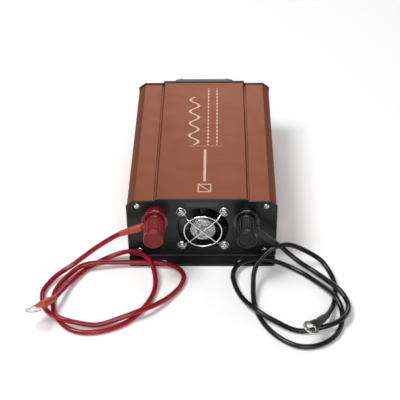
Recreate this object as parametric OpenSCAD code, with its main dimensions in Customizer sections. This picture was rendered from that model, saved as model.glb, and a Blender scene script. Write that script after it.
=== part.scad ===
// Desktop power inverter: extruded two-part case, bent end panels with mounting flanges,
// fan and two battery posts at the front, AC outlet, switch, USB port and lamps at the back,
// and one battery lead with ring lugs on each post. +X right, +Z up, the posts face -Y.
// The origin is on the surface it stands on, under the middle of the case with its posts.

/* [Case] */
// Width across the side walls
case_w = 138; // [132:1:180]
// Height of the raised middle of the cover
case_h = 68; // [66:1:90]
// Length of the two extrusions between the end panels
shell_len = 205; // [160:1:260]
// Thickness of the extruded walls
wall = 3; // [2.4:0.1:3.6]
// Width of the raised middle of the cover
raised_w = 83; // [60:1:96]
// Height of the raised middle over the shelf beside it
raised_h = 2.5; // [1.5:0.1:4]
// Width of the sloped shoulder of the cover
shoulder_w = 6.6; // [4:0.1:9]
// Height of the sloped shoulder of the cover
shoulder_h = 5.1; // [3:0.1:6]
// Width of the long groove beside the raised middle
groove_w = 1.7; // [1:0.1:2.5]
// Depth of that groove and of the ribbed sides
groove_d = 1.4; // [0.8:0.1:1.6]
// Height at which the upper and lower extrusions meet
split_z = 34; // [28:1:40]
// Height of the lower extrusion over the standing surface
base_gap = 1; // [0.5:0.1:1.5]

/* [End panels] */
// Thickness of the end panels
panel_t = 2; // [1.5:0.1:2.5]
// How far a panel stands out around the extrusion
panel_lip = 0.7; // [0.3:0.1:1.2]
// Depth of the mounting flange
flange_d = 13.5; // [12:0.5:18]
// Inner radius of the flange bend
bend_r = 1; // [0.6:0.1:2]
// Distance between the two holes of a flange
flange_hole_x = 73; // [60:1:90]
// Distance of a flange hole from the panel's face
flange_hole_y = 8.5; // [7:0.5:10]
// Diameter of a flange hole
flange_hole = 6.8; // [4.5:0.1:7.5]
// Diameter of the panel screws
panel_screw = 3; // [2.5:0.5:3.5]
// Distance of a panel screw from the case's side
panel_screw_in = 10; // [9:0.5:12]
// Height of the lower panel screws
panel_screw_low = 9; // [8:0.5:11]
// Depth of the upper panel screws under the raised middle
panel_screw_high = 6.8; // [6:0.2:9]

/* [Fan] */
// Side of the square fan frame
fan_size = 50; // [50:1:52]
// Depth of the fan frame
fan_depth = 15; // [15:1:20]
// Distance between the fan's screw holes
fan_pitch = 40; // [40:0.5:42]
// Sideways place of the fan's axis
fan_x = 1; // [-2:0.5:2]
// Height of the fan's axis
fan_z = 35; // [33:0.5:38]
// Diameter of the panel's fan opening
fan_open = 47.8; // [46:0.2:48]
// Diameter of the fan's hub
hub_d = 25.6; // [22:0.2:27]
// How far the hub stands out of the panel
hub_out = 2.6; // [0.5:0.1:2.8]
// Diameter of the guard's wire
guard_wire = 1.4; // [1:0.1:1.8]
// Diameter of the guard's ring, wire centre to wire centre
guard_ring = 35; // [30:0.2:40]
// Distance of the guard's ring from the panel
guard_out = 5; // [3.8:0.1:6]
// Number of fan blades
blades = 7; // [5:1:9]

/* [Battery posts] */
// Distance between the two posts
post_pitch = 84; // [82:1:90]
// Sideways middle of the two posts
post_x = -1; // [-2:0.5:1]
// Height of the posts' axes
post_z = 51; // [48:1:53]
// Diameter of the stud
stud_d = 8; // [6:0.5:8]
// Diameter of the insulating base
base_d = 19.5; // [18:0.5:21]
// Diameter of the base's collar
collar_d = 24.4; // [21:0.2:25]
// Distance of the collar's face from the panel
collar_out = 11.3; // [9:0.1:12]
// Thickness of the collar
collar_t = 3; // [2:0.5:4]
// Diameter of the knob
knob_d = 18.8; // [17:0.2:21]
// Distance of the knob's end from the panel
knob_out = 38; // [34:1:42]
// Pitch of the stud's thread
thread_pitch = 1.25; // [1:0.25:1.5]
// How far the knob backs off
knob_travel = 5; // [3:0.5:5]

/* [Battery leads] */
// Diameter of a lead
cable_d = 4.6; // [4:0.1:4.8]
// Outer diameter of a ring lug
lug_d = 15; // [13:0.5:16]
// Diameter of a ring lug's hole
lug_hole = 8.4; // [8.2:0.1:8.6]
// Thickness of a ring lug
lug_t = 1.4; // [1:0.1:1.6]
// Length of the heat-shrink sleeve on a lug
sleeve_len = 24; // [20:1:28]

/* [Outlet side] */
// Width of the outlet's housing
outlet_w = 63; // [60:1:66]
// Height of the outlet's housing
outlet_h = 55; // [50:1:57]
// Depth of the housing outside the panel
outlet_out = 12; // [10:0.5:14]
// Height of the outlet's centre
outlet_z = 36; // [34:1:38]
// Diameter of the plug recess
recess_d = 39; // [39:0.2:40]
// Depth of the plug recess
recess_depth = 17.5; // [16:0.5:18]
// Distance between the contact holes
contact_pitch = 19; // [19:0.5:19.5]
// Thickness of the spring lid
lid_t = 2.7; // [2:0.1:2.8]

/* [Inside] */
// Thickness of the circuit boards
board_t = 1.6; // [1.2:0.2:2]
// Height of the main board's underside
board_z = 13.8; // [13.2:0.2:15]

/* [Hidden] */
$fn = 48;
e = 0.01; // overlap that keeps a cut from ending on a face
fit = 0.05; // clearance all round between a shaft and its hole
gap = 0.2; // clearance between faces that move past each other

body_len = shell_len + 2 * panel_t;
lid_gap = 0.3;
lid_out = outlet_out + lid_gap + lid_t;
front_y = knob_out - (knob_out + body_len + lid_out) / 2; // outer face of the front panel
rear_y = front_y + body_len; // outer face of the rear panel
inner_y = front_y + panel_t; // where the extrusions begin
half_w = case_w / 2;
shelf_z = case_h - raised_h;
panel_screw_x = half_w - panel_screw_in;
panel_screw_top = case_h - panel_screw_high;
boss_r = panel_screw / 2 + 2.1;
floor_t = 2.5; // thickness of the lower extrusion's floor

// ---- shared shapes -------------------------------------------------------------------

// a cylinder along Y, its near end at y
module ycyl(r, h, y = 0, r2 = undef)
    translate([0, y, 0]) rotate([-90, 0, 0]) cylinder(r1 = r, r2 = is_undef(r2) ? r : r2, h = h);

// a box given by its centre in X and Z, and its near face in Y
module face_box(w, h, y, depth) translate([-w / 2, y, -h / 2]) cube([w, depth, h]);

// a point list and its mirror image in X
function both_sides(p) = concat(p, [for (i = [len(p) - 1:-1:0]) [-p[i].x, p[i].y]]);

// outline of the case from z0 up, grown by m all round
function case_outline(m, z0) = both_sides([
    [half_w + m, z0],
    [half_w + m, shelf_z - shoulder_h + 0.4 * m],
    [half_w - shoulder_w + 0.4 * m, shelf_z + m],
    [raised_w / 2 + 0.8 + m, shelf_z + m],
    [raised_w / 2 + m, case_h + m]]);

// a profile in X and Z, carried along Y
module along_y(points, y, length)
    translate([0, y + length, 0]) rotate([90, 0, 0]) linear_extrude(length) polygon(points);

// a cross-recessed pan-head screw along Y with its head's seat at y = 0 and its head at -Y
module pan_screw(d, head_d, head_h, length) {
    difference() {
        union() {
            ycyl(head_d / 2, head_h * 0.55, -head_h * 0.55);
            ycyl(head_d / 2 - head_h * 0.45, head_h * 0.45 + e, -head_h, head_d / 2);
        }
        for (a = [45, 135]) rotate([0, a, 0])
            face_box(head_d * 0.62, head_d * 0.13, -head_h - e, head_h * 0.6);
    }
    ycyl(d / 2 - fit, length + e, -e);
}

// screws at the four corners of a panel
module panel_screws() for (x = [-1, 1], z = [panel_screw_low, panel_screw_top])
    translate([x * panel_screw_x, 0, z]) pan_screw(panel_screw, 2 * panel_screw, 2, 12);

// ---- swept leads ---------------------------------------------------------------------

function unit(v) = v / norm(v);
// a point of the smooth curve through p1 and p2, at t from 0 to 1
function curve_point(p0, p1, p2, p3, t) = 0.5 * (2 * p1 + (p2 - p0) * t
    + (2 * p0 - 5 * p1 + 4 * p2 - p3) * t * t + (3 * p1 - p0 - 3 * p2 + p3) * t * t * t);
function with_ends(p) = concat([2 * p[0] - p[1]], p, [2 * p[len(p) - 1] - p[len(p) - 2]]);
function lifted(p, lowest) = [p.x, p.y, max(p.z, lowest)];
function smooth_path(p, steps, lowest) = let (q = with_ends(p)) concat(
    [for (i = [1:len(q) - 3], k = [0:steps - 1])
        lifted(curve_point(q[i - 1], q[i], q[i + 1], q[i + 2], k / steps), lowest)],
    [lifted(p[len(p) - 1], lowest)]);
function ring(c, t, r, sides, plane) = let (s = unit(cross(t, plane)), u = cross(s, t))
    [for (j = [0:sides - 1]) c + r * (cos(360 * j / sides) * s + sin(360 * j / sides) * u)];

// a round lead of radius r through the points, as one closed tube whose centre line stays at or
// above the height lowest; no stretch of it runs along plane
module swept_lead(points, r, steps = 2, lowest = -post_z, plane = [0, 0, 1]) {
    sides = 8;
    path = smooth_path(points, steps, lowest);
    n = len(path);
    rings = [for (i = [0:n - 1])
        ring(path[i], unit(path[min(i + 1, n - 1)] - path[max(i - 1, 0)]), r, sides, plane)];
    polyhedron(
        points = [for (a = rings) each a],
        faces = concat(
            [[for (j = [sides - 1:-1:0]) j]],
            [for (i = [0:n - 2], j = [0:sides - 1]) let (a = i * sides, b = a + sides, k = (j + 1) % sides)
                each [[a + j, a + k, b + k], [a + j, b + k, b + j]]],
            [[for (j = [0:sides - 1]) (n - 1) * sides + j]]));
}

// the red lead: down from its lug, round a loose double loop and back over itself
red_route = [[-56.5, -105, 45.6], [-77, -105, 37], [-98, -108, 24], [-120, -116, 10], [-132, -123, 5.5],
    [-140, -132, 3], [-145, -145, 2.4], [-143, -160, 2.4], [-137, -173, 4.5], [-127, -183, 7.6],
    [-114, -188, 6.6], [-92, -188, 2.4], [-72, -183, 5.5], [-56, -177, 8.2], [-41, -166, 6],
    [-28, -151, 3], [-19, -136, 2.4], [-17, -122, 2.4], [-25, -112, 4], [-40, -108, 5.3],
    [-70, -107, 5.3], [-98, -111, 8], [-113, -115, 7], [-125, -125, 3], [-133, -141, 2.4],
    [-134, -160, 2.4], [-129, -177, 2.4], [-118, -191, 2.4], [-104, -197, 2.4], [-85, -195, 2.4],
    [-65, -184, 2.4], [-51, -165, 2.4], [-43, -143, 3], [-44, -123, 8.5], [-52, -107, 11.5],
    [-67, -96, 9.5], [-88, -97, 3.2], [-107, -112, 2.4], [-121, -134, 4.5], [-131, -160, 10],
    [-138, -173, 14.5]];
// the black lead: down from its lug, round twice, and over its own first stretch
black_route = [[51.5, -105, 41.5], [72, -105, 24], [82, -108, 15.5], [93, -114, 9.5], [105, -123, 7],
    [123, -145, 7.6], [130, -157, 5], [131, -170, 5], [125, -184, 7.8], [112, -192, 6.4],
    [86, -195, 2.4], [63, -185, 6], [49, -174, 7.8], [38, -157, 4.5], [31, -138, 3],
    [29, -122, 4.5], [36, -109, 5.4], [51, -103, 5.4], [68, -105, 5], [87, -114, 2.6],
    [102, -128, 2.8], [119, -154, 7.7], [125, -170, 3.6], [123, -188, 2.4], [115, -203, 2.4],
    [100, -213, 2.4], [83, -213, 2.4], [67, -202, 2.4], [55, -185, 2.4], [48, -163, 2.8],
    [47, -144, 8], [49, -127, 14.5], [57, -117, 23], [69, -112, 28.5], [84, -106, 25],
    [108, -106, 10], [118, -118, 4.2], [122, -136, 2.4], [119, -160, 2.4], [111, -181, 8],
    [103, -194, 13]];

// ---- lugs and sleeves ----------------------------------------------------------------
// A lug lies in X and Y with its ring at the origin and its barrel towards +X.
barrel_r = cable_d / 2 + 0.8;
barrel_at = max(lug_d, collar_d) / 2 + 0.3; // clear of the post's collar
barrel_len = 10;
post_sleeve_at = barrel_at + 0.5;
free_sleeve_at = max(lug_d / 2 + 1, barrel_at - 3.5);
sleeve_r = barrel_r + 0.6;

module ring_lug() color("gainsboro") difference() {
    union() {
        cylinder(d = lug_d, h = lug_t, center = true);
        translate([0, -barrel_r * 0.9, -lug_t / 2]) cube([barrel_at + 1, barrel_r * 1.8, lug_t]);
        translate([barrel_at, 0, 0]) rotate([0, 90, 0]) cylinder(r = barrel_r, h = barrel_len);
    }
    cylinder(d = lug_hole, h = 4 * lug_t, center = true);
    translate([barrel_at + 1, 0, 0]) rotate([0, 90, 0]) cylinder(d = cable_d + 2 * fit, h = barrel_len);
}

// a sleeve whose near end is at start
module lug_sleeve(tint, start) color(tint) translate([start, 0, 0]) rotate([0, 90, 0]) difference() {
    union() {
        cylinder(r = sleeve_r, h = sleeve_len - 3);
        translate([0, 0, sleeve_len - 3 - e]) cylinder(r1 = sleeve_r, r2 = cable_d / 2 + 0.5, h = 3 + e);
    }
    translate([0, 0, -1]) cylinder(r = barrel_r + fit, h = barrel_at + barrel_len - start + 1.1);
    translate([0, 0, -1]) cylinder(d = cable_d + 4 * fit, h = sleeve_len + 2);
}

// places of the four lugs: the ring's middle, then turns about X, Y and Z
lug_y = front_y - collar_out - lug_t / 2;
module at_red_post() translate([post_x - post_pitch / 2, lug_y, post_z]) rotate([0, 180 - atan(0.4), 0])
    rotate([90, 0, 0]) children();
module at_black_post() translate([post_x + post_pitch / 2, lug_y, post_z]) rotate([0, atan(0.9), 0])
    rotate([90, 0, 0]) children();
red_end = [-146, -187, 20];
black_end = [94.5, -207, 18];
// turns a lug so that its barrel runs from its ring to the point p, rolled by w
module towards(c, p, w = 0) {
    v = p - c;
    translate(c) rotate([0, 0, atan2(v.y, v.x)]) rotate([0, -atan2(v.z, norm([v.x, v.y])), 0])
        rotate([w, 0, 0]) children();
}
module at_red_end() towards(red_end, red_route[len(red_route) - 1], -15) children();
module at_black_end() towards(black_end, black_route[len(black_route) - 1], 20) children();

// ---- case ----------------------------------------------------------------------------

rib_pitch = 6;
tongue_w = 1;
tongue_h = 1.4;

// long shallow grooves along both sides, between two heights
module side_grooves(z0, z1) for (s = [-1, 1], z = [z0:rib_pitch:z1])
    translate([s * half_w, inner_y - 1, z]) translate([-groove_d, 0, 0])
        cube([2 * groove_d, shell_len + 2, rib_pitch / 2]);

// two bosses along the case that take the panel screws
module screw_bosses(z, web_to) for (x = [-panel_screw_x, panel_screw_x]) translate([x, 0, z]) {
    ycyl(boss_r, shell_len, inner_y);
    translate([-1.2, inner_y, min(0, web_to - z)]) cube([2.4, shell_len, abs(web_to - z)]);
}
module boss_bores(z) for (x = [-panel_screw_x, panel_screw_x])
    translate([x, 0, z]) ycyl(panel_screw / 2, shell_len + 2, inner_y - 1);

module upper_shell() color([0.59, 0.34, 0.22]) difference() {
    union() {
        difference() {
            along_y(case_outline(0, split_z), inner_y, shell_len);
            along_y(case_outline(-wall, split_z - 1), inner_y - 1, shell_len + 2);
        }
        screw_bosses(panel_screw_top, shelf_z - wall / 2);
    }
    for (s = [-1, 1]) translate([s * (raised_w / 2 + 1 + groove_w / 2) - groove_w / 2, inner_y - 1,
        shelf_z - groove_d]) cube([groove_w, shell_len + 2, groove_d + 1]);
    side_grooves(split_z + 3, shelf_z - shoulder_h - 4);
    for (s = [-1, 1]) translate([s * (half_w - wall / 2 - groove_d / 2), inner_y + shell_len / 2, split_z])
        cube([tongue_w + 4 * fit, shell_len + 2, 2 * tongue_h + gap], center = true);
    boss_bores(panel_screw_top);
}

module lower_shell() color([0.55, 0.31, 0.2]) difference() {
    union() {
        difference() {
            translate([-half_w, inner_y, base_gap]) cube([case_w, shell_len, split_z - base_gap]);
            translate([-half_w + wall, inner_y - 1, base_gap + floor_t])
                cube([case_w - 2 * wall, shell_len + 2, split_z]);
        }
        screw_bosses(panel_screw_low, base_gap + floor_t / 2);
        for (s = [-1, 1], z = [board_z - 1.4, board_z + board_t + fit])
            translate([s * (half_w - wall / 2 - 1.5) - wall / 2 - 1, inner_y, z])
                cube([wall + 2, shell_len, 1.4]);
        for (s = [-1, 1])
            translate([s * (half_w - wall / 2 - groove_d / 2) - tongue_w / 2, inner_y, split_z - e]) cube([tongue_w, shell_len, tongue_h + e]);
    }
    side_grooves(base_gap + 5, split_z - 5);
    boss_bores(panel_screw_low);
}

// a flange with two rounded corners, reaching d out from y = 0 towards -Y
module flange_plate(d) {
    r = 4;
    translate([-half_w, -d + r, 0]) cube([case_w, d - r, panel_t]);
    translate([-half_w + r, -d, 0]) cube([case_w - 2 * r, d, panel_t]);
    for (s = [-1, 1]) translate([s * (half_w - r), -d + r, 0]) cylinder(r = r, h = panel_t);
}

// an end panel whose outer face is at y = 0 and looks towards -Y
module end_panel() {
    bend_z = panel_t + bend_r;
    difference() {
        union() {
            along_y(case_outline(panel_lip, bend_z), 0, panel_t);
            translate([0, -bend_r, 0]) flange_plate(flange_d - bend_r);
            intersection() {
                translate([-half_w, -bend_r, bend_z]) rotate([0, 90, 0]) difference() {
                    cylinder(r = bend_r + panel_t, h = case_w);
                    translate([0, 0, -1]) cylinder(r = bend_r, h = case_w + 2);
                }
                translate([-half_w, -bend_r, 0]) cube([case_w, bend_r + panel_t, bend_z]);
            }
        }
        for (s = [-1, 1]) translate([s * flange_hole_x / 2, -flange_hole_y, -1])
            cylinder(d = flange_hole, h = panel_t + 2);
        for (x = [-1, 1], z = [panel_screw_low, panel_screw_top]) translate([x * panel_screw_x, 0, z])
            ycyl(panel_screw / 2 + 0.2, panel_t + 2, -1);
    }
}

post_hole_r = stud_d / 2 + 2.2;
fan_hole_r = 2.2;

module at_fan() translate([fan_x, front_y, fan_z]) children();
module at_fan_corners() at_fan() for (x = [-1, 1], z = [-1, 1])
    translate([x * fan_pitch / 2, 0, z * fan_pitch / 2]) children();

module front_panel() color([0.13, 0.13, 0.14]) difference() {
    translate([0, front_y, 0]) end_panel();
    at_fan() ycyl(fan_open / 2, panel_t + 2, -1);
    at_fan_corners() ycyl(fan_hole_r, panel_t + 2, -1);
    for (s = [-1, 1]) translate([post_x + s * post_pitch / 2, front_y, post_z])
        ycyl(post_hole_r, panel_t + 2, -1);
}

module front_panel_screws() color("silver") translate([0, front_y, 0]) panel_screws();
module rear_panel_screws() color("silver") translate([0, rear_y, 0]) rotate([0, 0, 180]) panel_screws();

// ---- fan -----------------------------------------------------------------------------

fan_bore = fan_size - 2.5;
hub_wall = 1.4;
cap_r = hub_d / 2 - 1; // radius of the flat face in the middle of the fan
spindle_r = 1.5;
blade_turn = 25; // where the first blade stands, up from +X
hub_back = fan_depth + panel_t - 4.5; // open end of the hub, from the panel's face

module fan_frame() color([0.07, 0.07, 0.08]) at_fan() difference() {
    union() {
        difference() {
            union() {
                face_box(fan_size, fan_size - 6, panel_t, fan_depth);
                face_box(fan_size - 6, fan_size, panel_t, fan_depth);
                for (x = [-1, 1], z = [-1, 1]) translate([x * (fan_size / 2 - 3), 0, z * (fan_size / 2 - 3)])
                    ycyl(3, fan_depth, panel_t);
            }
            ycyl(fan_bore / 2, fan_depth + 2, panel_t - 1);
        }
        ycyl(hub_d / 2 - 0.4, 2, panel_t + fan_depth - 2);
        ycyl(hub_d / 2 - hub_wall - 2, hub_back - 5, 5);
        for (a = [30, 150, 270]) rotate([0, a, 0]) translate([fan_bore / 4, 0, 0])
            face_box(fan_bore / 2 + 1, 3, panel_t + fan_depth - 2, 2);
    }
    for (x = [-1, 1], z = [-1, 1]) translate([x * fan_pitch / 2, 0, z * fan_pitch / 2])
        ycyl(fan_hole_r, fan_depth + 2, panel_t - 1);
    ycyl(spindle_r + fit, fan_depth + 4, panel_t);
}

module fan_rotor() color([0.1, 0.1, 0.11]) at_fan() {
    difference() {
        union() {
            ycyl(hub_d / 2 - 0.5, hub_back - 2, 2);
            ycyl(cap_r - 0.5, hub_out + 2 - 0.5 + e, 0.5 - hub_out, hub_d / 2 - 0.5);
        }
        ycyl(hub_d / 2 - 0.5 - hub_wall, hub_back, 4);
    }
    ycyl(spindle_r, hub_back - 1, 3);
    intersection() {
        difference() {
            ycyl(fan_bore / 2 - 0.8, hub_back - 3, 3);
            ycyl(hub_d / 2 - 1, hub_back, 2);
        }
        for (i = [0:blades - 1]) rotate([0, i * 360 / blades - blade_turn, 0])
            translate([fan_bore / 4 + 4, hub_back / 2 + 1, 0]) rotate([42, 0, 0]) cube([fan_bore / 2, 1.3, 15], center = true);
    }
}

module fan_hub_cap() color("silver") at_fan() difference() {
    ycyl(cap_r, hub_out + 2, -hub_out, hub_d / 2);
    ycyl(cap_r - 0.5, hub_out + 1.5 + e, 0.5 - hub_out, hub_d / 2 - 0.5);
}

eyelet_r = 4;
wire_r = guard_wire / 2;
// the guard's two crossed wires lie on either side of its ring, each with its place in Y and its angle
crossed_wires = [[-0.6, 45], [0.45, 135]];
module fan_guard() color("gainsboro") {
    dip_r = guard_ring / 2 + 1.6;
    reach = fan_pitch / sqrt(2) - eyelet_r;
    at_fan() {
        translate([0, -guard_out, 0]) rotate([90, 0, 0])
            rotate_extrude() translate([guard_ring / 2, 0]) circle(wire_r, $fn = 24);
        for (w = crossed_wires) rotate([0, w[1], 0]) translate([0, w[0] - guard_out, 0]) {
            rotate([0, 90, 0]) cylinder(r = wire_r, h = 2 * dip_r, center = true);
            slope = [reach - dip_r, guard_out - wire_r - w[0]];
            for (s = [0, 180]) rotate([0, s, 0]) translate([dip_r - 0.2, 0, 0])
                rotate([0, 0, atan2(slope.y, slope.x + 0.2)]) rotate([0, 90, 0])
                    cylinder(r = wire_r - 0.04, h = norm(slope) + 0.1);
        }
    }
    at_fan_corners() translate([0, -wire_r, 0]) rotate([90, 0, 0])
        rotate_extrude() translate([eyelet_r, 0]) circle(wire_r, $fn = 24);
}

fan_screw_len = panel_t + fan_depth + guard_wire + 5;
module fan_screws() color("gainsboro") at_fan_corners() translate([0, -guard_wire, 0])
    pan_screw(4, 8, 2.9, fan_screw_len);
module fan_nuts() color("silver") at_fan_corners() difference() {
    translate([0, panel_t + fan_depth, 0]) rotate([-90, 0, 0]) cylinder(d = 8.1, h = 3.2, $fn = 6);
    ycyl(2, 6, panel_t + fan_depth - 1);
}

module fan_lead() color([0.5, 0.05, 0.15]) {
    y = front_y + panel_t + fan_depth + 1.2;
    for (s = [0, 1]) translate([fan_x + 2.4 * s, 0, 0])
        swept_lead([[8, y, fan_z + 2], [10, y, fan_z + 5], [10.2, y, fan_z + 10], [11, y, fan_z + 17],
            [12, y + 4, fan_z + 21], [16, y + 8, fan_z + 18], [24, y + 9, fan_z + 8], [27, y + 9, fan_z - 4],
            [27, y + 10, board_z + board_t + 1.5]], 0.8);
}

// ---- battery posts -------------------------------------------------------------------

inner_washer_t = 2;
washer_t = 1.2;
nut_t = 6.5;
knob_at = collar_out + lug_t + gap + washer_t + gap; // from the panel's face to the knob's near end
stud_in = panel_t + inner_washer_t + washer_t + 1 + nut_t + 2;

// places a post's parts with the panel's face at y = 0
module at_post(s) translate([post_x + s * post_pitch / 2, front_y, post_z]) children();

module post_base() difference() {
    union() {
        ycyl(base_d / 2, collar_out - collar_t + e, collar_t - collar_out - e);
        ycyl(collar_d / 2 - 0.8, 0.8 + e, -collar_out, collar_d / 2);
        ycyl(collar_d / 2, collar_t - 0.8, 0.8 - collar_out);
        ycyl(post_hole_r - 0.2, panel_t + e, -e);
        ycyl(base_d / 2 - 1, inner_washer_t, panel_t);
    }
    ycyl(stud_d / 2, collar_out + 10, -collar_out - 1);
}

module post_stud() ycyl(stud_d / 2 - fit / 2, knob_out - 4 + stud_in, 4 - knob_out);

module post_washer() difference() {
    ycyl(knob_d / 2 - 1.4, washer_t, -collar_out - lug_t - gap - washer_t);
    ycyl(stud_d / 2 + fit, 10, -collar_out - 8);
}

cap_len = 6.3;
module post_knob() difference() {
    union() {
        difference() {
            ycyl(knob_d / 2, knob_out - cap_len - knob_at, cap_len - knob_out);
            for (i = [0:19]) rotate([0, i * 18, 0]) translate([knob_d / 2 + 0.35, 0, 0])
                ycyl(1, knob_out, -knob_out);
        }
        ycyl(knob_d / 2 - 0.8, cap_len, -knob_out + e);
        ycyl(knob_d / 2 - 0.2, cap_len - 1.6, 0.9 - knob_out);
        ycyl(knob_d / 2 - 1.1, 0.9 + e, -knob_out, knob_d / 2 - 0.2);
    }
    ycyl(knob_d / 2 - 2.2, 1, -knob_out - 0.5);
    ycyl(stud_d / 2 + fit / 2, knob_out - 3.4, 3.4 - knob_out);
}

module post_nut() {
    difference() {
        union() {
            ycyl(7.6, washer_t, panel_t + inner_washer_t);
            translate([0, panel_t + inner_washer_t + washer_t + 1, 0]) rotate([-90, 0, 0])
                cylinder(d = 15, h = nut_t, $fn = 6);
        }
        ycyl(stud_d / 2, 30, 1);
    }
}

// the lead inside the case, from a ring under the nut to the main board
module inner_lead() {
    y = panel_t + inner_washer_t + washer_t;
    difference() {
        union() {
            ycyl(7, 1, y);
            face_box(6, 22, y, 1);
        }
        ycyl(stud_d / 2, 4, y - 1);
        face_box(8, 12, y - 1, 4);
        translate([0, 0, 8]) face_box(12, 12, y - 1, 4);
    }
    difference() {
        ycyl(7, 1, y);
        ycyl(stud_d / 2, 4, y - 1);
    }
    drop = board_z + board_t - post_z;
    swept_lead([[0, y + 0.6, -9], [0, y + 1, -17], [0, y + 5, -25], [0, y + 13, drop + 5], [0, y + 17, drop]],
        2.4, steps = 3, plane = [1, 0, 0]);
}

module red_post_base() color([0.45, 0.05, 0.07]) at_post(-1) post_base();
module red_post_stud() color("gold") at_post(-1) post_stud();
module red_post_washer() color("gold") at_post(-1) post_washer();
module red_post_knob() color([0.52, 0.16, 0.16]) at_post(-1) post_knob();
module red_post_nut() color("gold") at_post(-1) post_nut();
module red_inner_lead() color([0.65, 0.08, 0.12]) at_post(-1) inner_lead();
module black_post_base() color([0.08, 0.08, 0.08]) at_post(1) post_base();
module black_post_stud() color("gold") at_post(1) post_stud();
module black_post_washer() color("gold") at_post(1) post_washer();
module black_post_knob() color([0.11, 0.11, 0.11]) at_post(1) post_knob();
module black_post_nut() color("gold") at_post(1) post_nut();
module black_inner_lead() color([0.1, 0.1, 0.1]) at_post(1) inner_lead();

module red_cable() color([0.65, 0.06, 0.14]) swept_lead(red_route, cable_d / 2, lowest = cable_d / 2);
module red_post_lug() at_red_post() ring_lug();
module red_post_sleeve() at_red_post() lug_sleeve([0.84, 0.28, 0.24], post_sleeve_at);
module red_battery_lug() at_red_end() ring_lug();
module red_battery_sleeve() at_red_end() lug_sleeve([0.84, 0.28, 0.24], free_sleeve_at);
module black_cable() color([0.12, 0.13, 0.14]) swept_lead(black_route, cable_d / 2, lowest = cable_d / 2);
module black_post_lug() at_black_post() ring_lug();
module black_post_sleeve() at_black_post() lug_sleeve([0.1, 0.1, 0.1], post_sleeve_at);
module black_battery_lug() at_black_end() ring_lug();
module black_battery_sleeve() at_black_end() lug_sleeve([0.1, 0.1, 0.1], free_sleeve_at);

// ---- outlet side ---------------------------------------------------------------------

side_room = (half_w + outlet_w / 2) / 2; // middle of the strip beside the outlet
switch_z = 42;
usb_z = 40;
led_z = 54;
earth_z = 18;
led_r = 1.5;
well_r = recess_d / 2 + 2.5;
insert_t = 4;
insert_r = recess_d / 2 - 1;

module at_outlet() translate([0, rear_y, outlet_z]) children();
module at_switch() translate([side_room, rear_y, switch_z]) children();
module at_usb() translate([-side_room, rear_y, usb_z]) children();
module at_led(s) translate([-side_room + 5 * s, rear_y, led_z]) children();
module at_earth() translate([side_room, rear_y, earth_z]) children();

switch_w = 13;
switch_h = 19;
usb_w = 13.2;
usb_h = 5.8;
outlet_screw_x = outlet_w / 2 - 4;

module rear_panel() color([0.13, 0.13, 0.14]) difference() {
    translate([0, rear_y, 0]) rotate([0, 0, 180]) end_panel();
    at_outlet() ycyl(well_r + 0.2, panel_t + 2, -panel_t - 1);
    for (s = [-1, 1]) at_outlet() translate([s * outlet_screw_x, 0, 0]) ycyl(1.7, panel_t + 2, -panel_t - 1);
    at_switch() face_box(switch_w + 0.2, switch_h + 0.2, -panel_t - 1, panel_t + 2);
    at_usb() face_box(usb_w + 0.2, usb_h + 0.2, -panel_t - 1, panel_t + 2);
    for (s = [-1, 1]) at_led(s) ycyl(led_r + fit, panel_t + 2, -panel_t - 1);
    at_earth() ycyl(2.5, panel_t + 2, -panel_t - 1);
    for (i = [-2:2]) translate([-side_room + 4.6 * i, rear_y, 21])
        face_box(2.2, 16, -panel_t - 1, panel_t + 2);
}

hinge_r = 1; // radius of the lid's pin
hinge_z = outlet_h / 2 - 2.5;
hinge_y = outlet_out + lid_gap + lid_t / 2;
lid_w = 46;
lid_h = 48;
ear_t = 3;
knuckle_r = lid_t / 2;

module xcyl(r, w) rotate([0, 90, 0]) cylinder(r = r, h = w, center = true);

module outlet_housing() color([0.09, 0.09, 0.1]) at_outlet() difference() {
    union() {
        face_box(outlet_w, outlet_h - 8, 0, outlet_out);
        face_box(outlet_w - 8, outlet_h, 0, outlet_out);
        for (x = [-1, 1], z = [-1, 1]) translate([x * (outlet_w / 2 - 4), 0, z * (outlet_h / 2 - 4)])
            ycyl(4, outlet_out);
        ycyl(well_r, 17, -17);
        for (s = [-1, 1]) translate([s * (lid_w / 2 + gap + ear_t / 2), 0, hinge_z]) {
            translate([-ear_t / 2, outlet_out - e, -2.2]) cube([ear_t, hinge_y - outlet_out + e, 4.4]);
            translate([0, hinge_y, 0]) xcyl(lid_t / 2 - 0.02, ear_t);
        }
    }
    ycyl(recess_d / 2, recess_depth + 10, outlet_out - recess_depth);
    ycyl(insert_r, insert_t + e, outlet_out - recess_depth - insert_t);
    ycyl(recess_d / 2 - 4, 60, -30);
    for (a = [0, 180]) rotate([0, a, 0]) translate([0, 0, recess_d / 2])
        face_box(6, 4, outlet_out - recess_depth, recess_depth - 4);
    for (s = [-1, 1]) translate([s * outlet_screw_x, 0, 0]) {
        ycyl(1.6, outlet_out + 2, -1);
        ycyl(3, 3, outlet_out - 1.6);
    }
    translate([0, hinge_y, hinge_z]) xcyl(hinge_r, outlet_w);
}

module outlet_insert() color([0.07, 0.07, 0.07]) at_outlet() difference() {
    ycyl(insert_r - fit, insert_t, outlet_out - recess_depth - insert_t);
    for (s = [-1, 1]) translate([s * contact_pitch / 2, 0, 0]) ycyl(2.6, 30, -20);
    ycyl(1.5, 3, outlet_out - recess_depth - 1.5);
}

module outlet_contacts() color("gold") at_outlet() for (s = [-1, 1]) translate([s * contact_pitch / 2, 0, 0])
    difference() {
        ycyl(3.4, 11, outlet_out - recess_depth - insert_t - 11);
        ycyl(2.45, 20, outlet_out - recess_depth - insert_t - 10);
    }

module outlet_earth_clips() color("gold") at_outlet() for (a = [0, 180]) rotate([0, a, 0])
    translate([0, 0, recess_d / 2 + 1.3]) face_box(4.6, 1.2, outlet_out - recess_depth, recess_depth - 5);

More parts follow.
